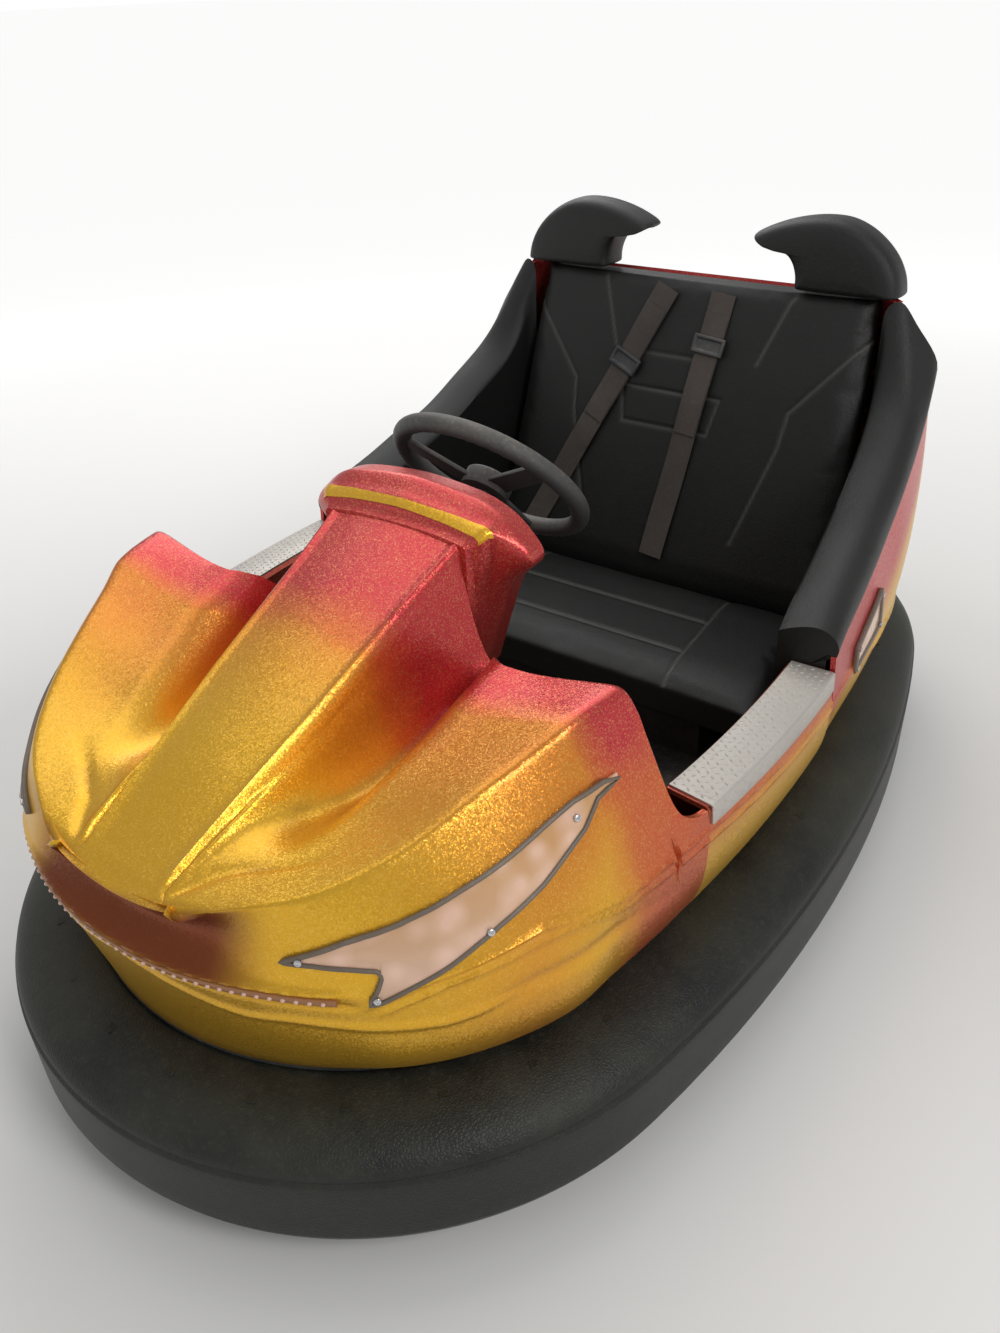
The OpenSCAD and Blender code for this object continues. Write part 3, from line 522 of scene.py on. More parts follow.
def sweep(name: str, path: Sequence[Vector], outs: Sequence[Vector], section: Table,
          closed: bool = False) -> Piece:
    """Carries a section along a path.

    Args:
        name: the piece's name.
        path: the points that the section follows.
        outs: at each point, the way in which the section's second value goes.
        section: points as steps across the path and outwards.
        closed: whether the path's end meets its start.

    Returns:
        The piece, normals outwards.
    """
    rings = []
    n = len(path)
    for k, (p, out) in enumerate(zip(path, outs)):
        a = path[(k - 1) % n] if closed else path[max(k - 1, 0)]
        b = path[(k + 1) % n] if closed else path[min(k + 1, n - 1)]
        along = (b - a).normalized()
        up = (out - along * out.dot(along)).normalized()
        across = along.cross(up)
        rings.append([tuple(p + across * s[0] + up * s[1]) for s in section])
    if not closed:
        return loft(name, rings)
    rings.append(rings[0])
    obj = sheet_of(name, len(section), len(rings), lambda i, j: rings[j][i], wrap=True)
    edit(obj, merge(), face_out)
    return obj


def pillow(width: float, height: float, radius: float, steps: int = 4) -> list[tuple[float, float]]:
    """A rounded rectangle's outline about its middle."""
    pts = []
    for k, (sx, sy) in enumerate(((1, 1), (-1, 1), (-1, -1), (1, -1))):
        for i in range(steps + 1):
            a = radians(90 * k + 90 * i / steps)
            pts.append((sx * (width / 2 - radius) + radius * cos(a),
                        sy * (height / 2 - radius) + radius * sin(a)))
    return pts


def rounded_box(steps: int, half: float, thick: float, a: float, b: float) -> list[tuple[float, float]]:
    """A box's outline about its middle, with rounded corners.

    Args:
        steps: how many points it has.
        half: half its width.
        thick: half its height.
        a: how round it is across, from 0, square, to 1, round.
        b: how round it is upwards, in the same way.

    Returns:
        The outline.
    """
    turns = [2 * pi * (i + .5) / steps for i in range(steps)]
    return [(half * copysign(abs(cos(t)) ** a, cos(t)),
             thick * copysign(abs(sin(t)) ** b, sin(t))) for t in turns]


def modifier(obj: Piece, kind: str, **values: object) -> None:
    """Adds a modifier with its values and applies it."""
    pick(obj)
    mod = obj.modifiers.new(kind.title(), kind)
    for key, value in values.items():
        setattr(mod, key, value)
    bpy.ops.object.modifier_apply(modifier=mod.name)


def smooth(obj: Piece, angle: float = 40.0) -> None:
    """Smooth shading with sharp edges past an angle."""
    pick(obj)
    bpy.ops.object.shade_smooth_by_angle(angle=radians(angle))


def join(objs: Sequence[Piece]) -> Piece:
    """Joins pieces into the first of them."""
    pick(*objs)
    if len(objs) > 1:
        bpy.ops.object.join()
    return objs[0]


def copies(obj: Piece, places: Iterable[Matrix]) -> Piece:
    """Copies a settled piece to each place and joins the copies into it.

    Args:
        obj: the pattern, modelled about the world's middle.
        places: where each copy goes.

    Returns:
        The joined piece.
    """
    made = []
    for place in places:
        one = obj.copy()
        one.data = obj.data.copy()
        one.data.transform(place)
        bpy.context.scene.collection.objects.link(one)
        made.append(one)
    name = obj.name
    bpy.data.objects.remove(obj, do_unlink=True)
    whole = join(made)
    whole.name = name
    whole.data.name = name
    return whole


def turn_about(axis: str, angle: float) -> Matrix:
    """A turn about an axis of the world."""
    return Matrix.Rotation(radians(angle), 4, axis)


def stand(normal: Vector, place: Sequence[float], turn: float = 0.0) -> Matrix:
    """A matrix that stands a piece's Z along a normal at a place."""
    base = normal.to_track_quat("Z", "Y").to_matrix().to_4x4()
    return Matrix.Translation(Vector(place)) @ base @ Matrix.Rotation(turn, 4, "Z")


def outward(obj: Piece, way: Callable[[Vector], Vector], wall: float = 0.0) -> None:
    """Turns an open sheet's faces outwards, and gives it its wall on the inside.

    Args:
        obj: the sheet.
        way: what is outwards at a face's middle.
        wall: its thickness, or none where it stays open.
    """
    if sum(f.normal.dot(way(f.center)) * f.area for f in obj.data.polygons) < 0:
        edit(obj, bpy.ops.mesh.flip_normals)
    if wall:
        modifier(obj, "SOLIDIFY", thickness=wall, offset=-1.0)


def tint(obj: Piece, rule: Callable[[Vector], Colour]) -> None:
    """Writes a piece's zones as a colour attribute: red share, painted shade and dusty share."""
    layer = obj.data.color_attributes.new(ZONE, "FLOAT_COLOR", "POINT")
    flat: list[float] = []
    for v in obj.data.vertices:
        flat.extend((*rule(v.co), 1.0))
    layer.data.foreach_set("color", flat)


def swell_cloth(obj: Piece, voxel: float, pressure: float, cap: float) -> None:
    """Blows up a padded piece by a short cloth simulation and applies the result.

    Args:
        obj: the closed piece.
        voxel: the remesh's voxel.
        pressure: the cloth's inner pressure.
        cap: how far a point may move.
    """
    modifier(obj, "REMESH", mode="VOXEL", voxel_size=voxel, adaptivity=0.0)
    start = [v.co.copy() for v in obj.data.vertices]
    pick(obj)
    mod = obj.modifiers.new("Cloth", "CLOTH")
    mod.settings.use_pressure = True
    mod.settings.uniform_pressure_force = pressure
    mod.settings.quality = 5
    mod.settings.mass = 0.3
    mod.settings.tension_stiffness = 12
    mod.settings.compression_stiffness = 12
    mod.settings.bending_stiffness = 4
    mod.settings.effector_weights.gravity = 0.0
    mod.point_cache.frame_start = 1
    mod.point_cache.frame_end = 20
    scene = bpy.context.scene
    for number in range(1, 21):
        scene.frame_set(number)
    bpy.ops.object.modifier_apply(modifier=mod.name)
    scene.frame_set(1)
    for v, old in zip(obj.data.vertices, start):
        move = v.co - old
        if move.length > cap:
            v.co = old + move * (cap / move.length)
    obj.data.update()


# Finishes

class Graph:
    """Short hand for laying out a node tree."""

    def __init__(self, tree: Tree) -> None:
        """Keeps the tree."""
        self.tree = tree

    def add(self, kind: str, inputs: Optional[dict] = None, **settings: object) -> Node:
        """Adds a node.

        Args:
            kind: the node's type.
            inputs: values or sockets by the input's name or number.
            settings: the node's own settings.

        Returns:
            The node.
        """
        node = self.tree.nodes.new(kind)
        for key, value in settings.items():
            setattr(node, key, value)
        for key, value in (inputs or {}).items():
            socket = node.inputs[key]
            if isinstance(value, Socket):
                self.tree.links.new(value, socket)
            else:
                socket.default_value = value
        return node

    def math(self, how: str, a: object, b: object = 0.5, clamp: bool = False) -> Socket:
        """A sum of two values or sockets."""
        return self.add("ShaderNodeMath", {0: a, 1: b}, operation=how, use_clamp=clamp).outputs[0]

    def ramp(self, value: object, low: float, high: float, a: float = 0.0, b: float = 1.0) -> Socket:
        """Maps a value from low and high to a and b, held at the ends."""
        return self.add("ShaderNodeMapRange", {0: value, 1: low, 2: high, 3: a, 4: b}).outputs[0]

    def mix(self, share: object, a: object, b: object) -> Socket:
        """Mixes two colours."""
        return self.add("ShaderNodeMix", {0: share, 6: a, 7: b}, data_type="RGBA").outputs[2]

    def place(self) -> Socket:
        """The Object coordinates."""
        return self.add("ShaderNodeTexCoord").outputs["Object"]

    def noise(self, place: Socket, scale: object, detail: float, rough: float = 0.5) -> Socket:
        """A noise's value at a place."""
        return self.add("ShaderNodeTexNoise", {"Vector": place, "Scale": scale, "Detail": detail,
                                               "Roughness": rough}).outputs[0]

    def cells(self, place: Socket, scale: object, feature: str = "F1") -> Node:
        """A pattern of cells."""
        return self.add("ShaderNodeTexVoronoi", {"Vector": place, "Scale": scale}, feature=feature)

    def vector(self, how: str, **inputs: object) -> Socket:
        """A vector sum: a and b are its first two inputs, scale its factor."""
        names = {"a": 0, "b": 1, "scale": "Scale"}
        values = {names[key]: value for key, value in inputs.items()}
        return self.add("ShaderNodeVectorMath", values, operation=how).outputs[0]

    def zones(self) -> Sequence[Socket]:
        """The red share, the painted shade and the dusty share that tint wrote."""
        layer = self.add("ShaderNodeAttribute", attribute_name=ZONE).outputs["Color"]
        return self.add("ShaderNodeSeparateColor", {0: layer}).outputs

    def feed(self, value: Socket, node: Node, name: str) -> None:
        """Links a value to a node's input."""
        self.tree.links.new(value, node.inputs[name])


def paint_of(colour: Sequence[float]) -> tuple[float, float, float, float]:
    """A colour with its alpha."""
    return (*colour[:3], 1.0)


def new_group(name: str, ins: dict[str, float], outs: dict[str, str]) -> tuple[Tree, Graph, Node, Node]:
    """Starts a shader node group with named sockets.

    Args:
        name: the group's name.
        ins: float inputs and their usual values.
        outs: outputs and their socket types.

    Returns:
        The group, its graph, its input node and its output node.
    """
    tree = bpy.data.node_groups.new(name, "ShaderNodeTree")
    for key, value in ins.items():
        tree.interface.new_socket(key, in_out="INPUT", socket_type="NodeSocketFloat").default_value = value
    for key, kind in outs.items():
        tree.interface.new_socket(key, in_out="OUTPUT", socket_type=kind)
    graph = Graph(tree)
    return tree, graph, tree.nodes.new("NodeGroupInput"), tree.nodes.new("NodeGroupOutput")


class Effects:
    """The effects that several finishes share, each a node group."""

    def __init__(self) -> None:
        """Builds the groups."""
        self.flakes = self._flakes()
        self.grain = self._grain()
        self.dust = self._dust()
        self.scuffs = self._scuffs()
        self.mottle = self._mottle()

    @staticmethod
    def _flakes() -> Tree:
        """Metal flakes in the paint: each cell has its own tilt, and its own painted glint, a brightness put
        into the colour.
        """
        tree, g, src, dst = new_group("Metal flakes", {"Scale": 700.0, "Tilt": 0.2},
                                      {"PaintedGlint": VALUE, "Normal": "NodeSocketVector"})
        cells = g.cells(g.place(), src.outputs["Scale"]).outputs["Color"]
        glint = g.ramp(g.add("ShaderNodeSeparateColor", {0: cells}).outputs[0], 0.55, 1.0)
        g.feed(g.math("POWER", glint, 2.0), dst, "PaintedGlint")
        lean = g.vector("SUBTRACT", a=cells, b=(0.5, 0.5, 0.5))
        lean = g.vector("SCALE", a=lean, scale=src.outputs["Tilt"])
        face = g.add("ShaderNodeNewGeometry").outputs["Normal"]
        g.feed(g.vector("NORMALIZE", a=g.vector("ADD", a=lean, b=face)), dst, "Normal")
        return tree

    @staticmethod
    def _grain() -> Tree:
        """Fine creased grain of leatherette and moulded rubber."""
        tree, g, src, dst = new_group("Fine grain", {"Scale": 300.0, "Depth": 1.0}, {"Height": VALUE})
        place, scale = g.place(), src.outputs["Scale"]
        edge = g.ramp(g.cells(place, scale, "DISTANCE_TO_EDGE").outputs["Distance"], 0.0, 0.25)
        soft = g.noise(place, g.math("MULTIPLY", scale, 0.4), 3.0)
        g.feed(g.math("MULTIPLY", g.math("ADD", edge, soft), src.outputs["Depth"]), dst, "Height")
        return tree

    @staticmethod
    def _dust() -> Tree:
        """Dust that lies on what faces up, in soft patches."""
        tree, g, src, dst = new_group("Settled dust", {"Amount": 0.5, "Scale": 6.0}, {"Mask": VALUE})
        place = g.place()
        patch = g.ramp(g.noise(place, src.outputs["Scale"], 8.0, 0.65), 0.35, 0.7)
        speck = g.ramp(g.noise(place, 160.0, 2.0), 0.55, 0.75, 0.0, 0.5)
        up = g.add("ShaderNodeSeparateXYZ", {0: g.add("ShaderNodeNewGeometry").outputs["Normal"]}).outputs[2]
        lying = g.math("MULTIPLY", g.math("ADD", patch, speck), g.ramp(up, -0.2, 0.9, 0.15, 1.0))
        g.feed(g.math("MULTIPLY", lying, src.outputs["Amount"], True), dst, "Mask")
        return tree

    @staticmethod
    def _scuffs() -> Tree:
        """Thin rubbed streaks along a surface."""
        tree, g, src, dst = new_group("Rubbed scuffs", {"Amount": 0.5, "Scale": 14.0}, {"Mask": VALUE})
        place = g.place()
        drawn = g.add("ShaderNodeMapping", {"Vector": place, "Rotation": (0.3, 0.2, 0.9),
                                            "Scale": (1.0, 7.0, 5.0)}).outputs[0]
        streaks = g.ramp(g.noise(drawn, src.outputs["Scale"], 6.0, 0.7), 0.6, 0.72)
        where = g.ramp(g.noise(place, 3.0, 3.0), 0.42, 0.62)
        mask = g.math("MULTIPLY", streaks, where)
        g.feed(g.math("MULTIPLY", mask, src.outputs["Amount"], True), dst, "Mask")
        return tree

    @staticmethod
    def _mottle() -> Tree:
        """Slow change of tone over a surface."""
        tree, g, src, dst = new_group("Slow mottle", {"Scale": 5.0, "Contrast": 0.3}, {"Value": VALUE})
        cloud = g.math("SUBTRACT", g.noise(g.place(), src.outputs["Scale"], 5.0, 0.6), 0.5)
        g.feed(g.math("ADD", g.math("MULTIPLY", cloud, src.outputs["Contrast"]), 1.0), dst, "Value")
        return tree


@dataclass(frozen=True)
class Finish:
    """A finish of one colour with its wear: what the plainer surfaces use."""

    name: str
    colour: Colour
    rough: float = 0.5
    metal: float = 0.0
    coat: float = 0.0
    grain: float = 300.0
    relief: float = 0.0002
    dust: float = 0.3
    dust_colour: Colour = (0.42, 0.37, 0.30)
    scuff: float = 0.3
    scuff_colour: Colour = (0.5, 0.5, 0.48)
    mottle: float = 0.25
    shine: float = 0.5

    def start(self) -> tuple[Material, Graph, Node]:
        """A fresh material.

        Returns:
            The material, its graph and its shader.
        """
        mat = bpy.data.materials.new(self.name)
        mat.use_nodes = True
        shader = next(n for n in mat.node_tree.nodes if n.type == "BSDF_PRINCIPLED")
        shader.inputs["Coat Weight"].default_value = self.coat
        shader.inputs["Coat Roughness"].default_value = 0.12
        shader.inputs["Metallic"].default_value = self.metal
        shader.inputs["Specular IOR Level"].default_value = self.shine
        return mat, Graph(mat.node_tree), shader

    def place(self, g: Graph, tree: Tree, **values: float) -> Node:
        """Places a shared effect in a material with its own values."""
        node = g.add("ShaderNodeGroup", node_tree=tree)
        for key, value in values.items():
            node.inputs[key].default_value = value
        return node

    def base(self, g: Graph) -> Socket:
        """The clean colour, before wear."""
        node = g.add("ShaderNodeRGB")
        node.outputs[0].default_value = paint_of(self.colour)
        return node.outputs[0]

    def material(self, fx: Effects) -> Material:
        """Builds the material.

        Args:
            fx: the shared effects.

        Returns:
            The material.
        """
        mat, g, shader = self.start()
        tone = self.place(g, fx.mottle, Scale=6.0, Contrast=self.mottle).outputs[0]
        clean = g.vector("SCALE", a=self.base(g), scale=tone)
        scuffs = self.place(g, fx.scuffs, Amount=self.scuff).outputs[0]
        dust = self.place(g, fx.dust, Amount=self.dust).outputs[0]
        g.feed(self.worn(g, clean, scuffs, dust), shader, "Base Color")
        wear = g.math("ADD", g.math("MULTIPLY", scuffs, 0.25), g.math("MULTIPLY", dust, 0.45))
        g.feed(g.math("ADD", wear, self.rough, True), shader, "Roughness")
        grain = self.place(g, fx.grain, Scale=self.grain, Depth=1.0).outputs["Height"]
        relief = g.add("ShaderNodeBump", {"Height": grain, "Strength": 0.6, "Distance": self.relief})
        g.feed(relief.outputs[0], shader, "Normal")
        return mat

    def worn(self, g: Graph, clean: Socket, scuffs: Socket, dust: Socket) -> Socket:
        """The colour with its scuffs and the dust over them."""
        return g.mix(dust, g.mix(scuffs, clean, paint_of(self.scuff_colour)), paint_of(self.dust_colour))


@dataclass(frozen=True)
class FlakePaint(Finish):
    """The cowls' metal-flake paint, gold to red by zone, darkened where shade is painted."""

    orange: Colour = (0.60, 0.17, 0.022)
    red: Colour = (0.50, 0.030, 0.040)
    # colour of the painted shade in recesses, grooves and next to the rubber
    painted_shade: Colour = (0.20, 0.040, 0.005)
    # colour of the glints painted on the flakes
    painted_glint: Colour = (1.0, 0.80, 0.25)

    def material(self, fx: Effects) -> Material:
        """Builds the paint.

        Args:
            fx: the shared effects.

        Returns:
            The material.
        """
        mat, g, shader = self.start()
        red, painted_shade, dusty = g.zones()[:3]
        tone = self.place(g, fx.mottle, Scale=9.0, Contrast=0.5).outputs[0]
        redness = g.math("MULTIPLY", red, tone)
        warm = g.mix(g.ramp(redness, 0.0, 0.5), paint_of(self.colour), paint_of(self.orange))
        hot = g.mix(g.ramp(redness, 0.4, 0.85), warm, paint_of(self.red))
        flakes = self.place(g, fx.flakes, Scale=700.0, Tilt=0.22)
        # painted glint: each flake's colour is brightened towards the glint colour, however light falls on it
        with_glints = g.mix(g.math("MULTIPLY", flakes.outputs["PaintedGlint"], 0.2), hot, paint_of(self.painted_glint))
        # painted shade: the zone's shade share darkens the paint towards the shade colour
        shaded = g.mix(painted_shade, with_glints, paint_of(self.painted_shade))
        scuffs = self.place(g, fx.scuffs, Amount=self.scuff, Scale=20.0).outputs[0]
        settled = self.place(g, fx.dust, Amount=self.dust).outputs[0]
        dust = g.math("ADD", settled, g.math("MULTIPLY", dusty, 0.5), True)
        g.feed(self.worn(g, shaded, scuffs, dust), shader, "Base Color")
        g.feed(g.math("ADD", g.math("MULTIPLY", dust, 0.5), self.rough, True), shader, "Roughness")
        g.feed(flakes.outputs["Normal"], shader, "Normal")
        return mat


@dataclass(frozen=True)
class Leatherette(Finish):
    """Black seat covering with its engraved grooves by zone."""

    # painted highlight along the grooves
    groove: Colour = (0.055, 0.055, 0.050)

    def base(self, g: Graph) -> Socket:
        """The covering's colour, paler in the grooves, a painted highlight along them."""
        return g.mix(g.zones()[0], paint_of(self.colour), paint_of(self.groove))


@dataclass(frozen=True)
class Lens(Finish):
    """A lamp's lens with the soft round spots of the lamps behind it, golden towards its upper end."""

    inner: Colour = (0.80, 0.52, 0.40)
    upper: Colour = (0.56, 0.30, 0.12)
    spots: float = 34.0

    def base(self, g: Graph) -> Socket:
        """The lens's colour with its spots."""
        place = g.place()
        spot = g.ramp(g.cells(place, self.spots, "SMOOTH_F1").outputs["Distance"], 0.15, 0.55, 0.7, 0.0)
        height = g.add("ShaderNodeSeparateXYZ", {0: place}).outputs[2]
        plain = g.mix(g.ramp(height, 0.45, 0.54), paint_of(self.colour), paint_of(self.upper))
        return g.mix(spot, plain, paint_of(self.inner))


@dataclass(frozen=True)
class Webbing(Finish):
    """Woven belt webbing: fine ribs across the strap."""

    rib: Colour = (0.075, 0.06, 0.05)

    def base(self, g: Graph) -> Socket:
        """The webbing's colour with its weave."""
        wave = g.add("ShaderNodeTexWave", {"Vector": g.place(), "Scale": 190.0, "Distortion": 1.2},
                     bands_direction="Z").outputs[0]
        return g.mix(g.math("MULTIPLY", wave, 0.6), paint_of(self.colour), paint_of(self.rib))


class Finishes:
    """All the car's finishes, built once."""

    def __init__(self) -> None:
        """Builds the materials."""
        fx = Effects()
        self.paint = FlakePaint(
            "Flake paint", (0.72, 0.39, 0.018), rough=0.33, metal=0.72, coat=0.12, dust=0.04, scuff=0.03,
            scuff_colour=(0.70, 0.55, 0.30)).material(fx)
        self.rubber = Finish(
            "Bumper rubber", (0.007, 0.009, 0.008), rough=0.42, shine=0.36, grain=220, relief=0.0005,
            dust=0.38, dust_colour=(0.080, 0.078, 0.052), scuff=0.35, scuff_colour=(0.055, 0.055, 0.048),
            mottle=0.6).material(fx)
        self.tread = Finish(
            "Wheel rubber", (0.03, 0.03, 0.032), rough=0.7, relief=0.0004, dust=0.4,
            dust_colour=(0.16, 0.14, 0.12), scuff_colour=(0.12, 0.12, 0.12)).material(fx)
        self.steel = Finish(
            "Painted steel", (0.035, 0.037, 0.04), metal=0.2, grain=500, relief=0.0001, scuff=0.4,
            scuff_colour=(0.22, 0.2, 0.18)).material(fx)
        self.wheel = Finish(
            "Wheel metal", (0.42, 0.43, 0.44), rough=0.38, metal=0.9, grain=700, relief=0.00008, scuff=0.5,
            scuff_colour=(0.25, 0.22, 0.2)).material(fx)
        self.alloy = Finish(
            "Tread alloy", (0.52, 0.49, 0.45), rough=0.42, metal=0.55, grain=900, relief=0.00006, dust=0.35,
            dust_colour=(0.30, 0.26, 0.21), scuff=0.7, scuff_colour=(0.30, 0.28, 0.26),
            mottle=0.5).material(fx)
        self.leather = Leatherette(
            "Black leatherette", (0.006, 0.007, 0.006), rough=0.44, shine=0.40, grain=420, relief=0.0003,
            dust=0.07, dust_colour=(0.050, 0.048, 0.038), scuff=0.25, scuff_colour=(0.035, 0.033, 0.028),
            mottle=0.5).material(fx)
        self.web = Webbing(
            "Belt webbing", (0.035, 0.027, 0.022), rough=0.75, grain=900, relief=0.0003, dust=0.12,
            scuff=0.1).material(fx)
        self.lens = Lens(
            "Lamp lens", (0.60, 0.38, 0.25), rough=0.18, coat=0.5, grain=120, relief=0.0001, dust=0.10,
            scuff=0.06, mottle=0.2).material(fx)
        self.strip = Finish(
            "Strip lens", (0.30, 0.115, 0.030), rough=0.3, coat=0.3, dust=0.15, scuff=0.1).material(fx)
        self.dots = Finish(
            "Small lamps", (0.66, 0.42, 0.34), rough=0.3, coat=0.3, dust=0.10, scuff=0.05).material(fx)
        self.frame = Finish(
            "Lamp frame", (0.13, 0.10, 0.075), rough=0.35, grain=600, relief=0.0001, dust=0.2).material(fx)
        self.plastic = Finish(
            "Cockpit plastic", (0.03, 0.031, 0.033), grain=350, relief=0.0003, dust=0.35,
            scuff_colour=(0.14, 0.13, 0.12)).material(fx)
        self.motor = Finish(
            "Motor paint", (0.05, 0.12, 0.055), rough=0.45, grain=400, dust=0.35).material(fx)
        self.chrome = Finish(
            "Small fittings", (0.55, 0.55, 0.56), rough=0.25, metal=0.95, grain=900, relief=0.00004,
            dust=0.15).material(fx)


@dataclass
class Maker:
    """Hands a finished piece over: its finish, its body and what it stands for."""

    finishes: Finishes
    count: int = 0

    def done(self, obj: Piece, mat: Material, slot: str, *nodes: str, body: str = "car",
             sharp: float = 40.0) -> Piece:
        """Args:
            obj: the piece.
            mat: its material.
            slot: not used.
            nodes: the CAD nodes that it replaces.
            body: the body that it rides on.
            sharp: the angle past which its edges stay sharp.

        Returns:
            The piece.
        """
        obj.data.materials.clear()
        obj.data.materials.append(mat)
        smooth(obj, sharp)
        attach(obj, body)
        if nodes:
            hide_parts(*nodes)
        self.count += 1
        LOG.info("%s: %d faces, on %s%s", obj.name, len(obj.data.polygons), body,
                 ", for " + ", ".join(nodes) if nodes else "")
        return obj

    def dress(self, mat: Material, *nodes: str) -> None:
        """Gives CAD nodes whose shape is right a better material."""
        for name in nodes:
            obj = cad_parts[name]
            for slot in obj.material_slots:
                slot.material = mat
            LOG.info("%s: CAD node, %s", name, mat.name)


def skirt_shade(z: float) -> float:
    """Painted shade: how much darker a cowl is painted close to the rubber, in the crevice that the rubber
    shades.
    """
    return .35 * ease((.262 - z) / .02)


# Sub-assemblies

@dataclass
class Bumper:
    """The rubber ring round the car and the steel rim behind it."""

    outline: Outline
    depth: float = 0.127
    low: float = 0.062
    crease: float = 0.190
    top: float = 0.235
    stations: int = 240
    mark: float = 0.012
    mark_in: float = 0.0745

    def section(self) -> list[tuple[float, float]]:
        """The rubber's section: offset from its face, and height."""
        back, low, crease, top = -self.depth, self.low, self.crease, self.top
        pts = [(back, low + .014), (back + .014, low), (-.07, low), (-.032, low), (-.018, low + .003),
               (-.006, low + .012), (0, low + .026), (0, .11), (0, .135), (0, .16), (0, crease - .007),
               (-.0006, crease - .004), (-.0038, crease - .0015), (-.0042, crease + .001)]
        for k in range(1, 15):
            a = radians(90 * k / 14)
            pts.append((-.003 + (back + .015) * (1 - cos(a)), crease + (top - crease) * sin(a)))
        return pts + [(back + .004, top - .001), (back, top - .006), (back, .17), (back, .11)]

    def build(self, maker: Maker) -> None:
        """Models the ring from a torus and dresses the rim."""
        section = self.section()
        obj = primitive(bpy.ops.mesh.primitive_torus_add, "bumper_ring", major_segments=self.stations,
                        minor_segments=len(section), major_radius=0.6, minor_radius=0.1)
        flat: list[float] = []
        for k in range(self.stations):
            for d, z in section:
                flat.extend((*self.outline.at(360 * k / self.stations, d), z))
        obj.data.vertices.foreach_set("co", flat)
        obj.data.update()
        edit(obj, face_out)
        maker.done(obj, maker.finishes.rubber, "bumper_rubber", "bumper_tyre", sharp=50)
        maker.done(self.marks(), maker.finishes.rubber, "bumper_rubber")
        maker.dress(maker.finishes.steel, "bumper_rim")

    def marks(self) -> Piece:
        """The small square mould marks along the rubber's shoulder."""
        obj = block("mould_marks", (self.mark, self.mark, self.mark * .12))
        modifier(obj, "BEVEL", width=0.0006, segments=1)
        up = sin(acos(1 - (self.mark_in - .003) / (self.depth - .015)))
        z = self.crease + (self.top - self.crease) * up
        places = []
        for k in range(26):
            angle = 7 + 360 * k / 26
            x, y = self.outline.at(angle, -self.mark_in)
            places.append(Matrix.Translation((x, y, z + .0002)) @ turn_about("Z", angle))
        return copies(obj, places)


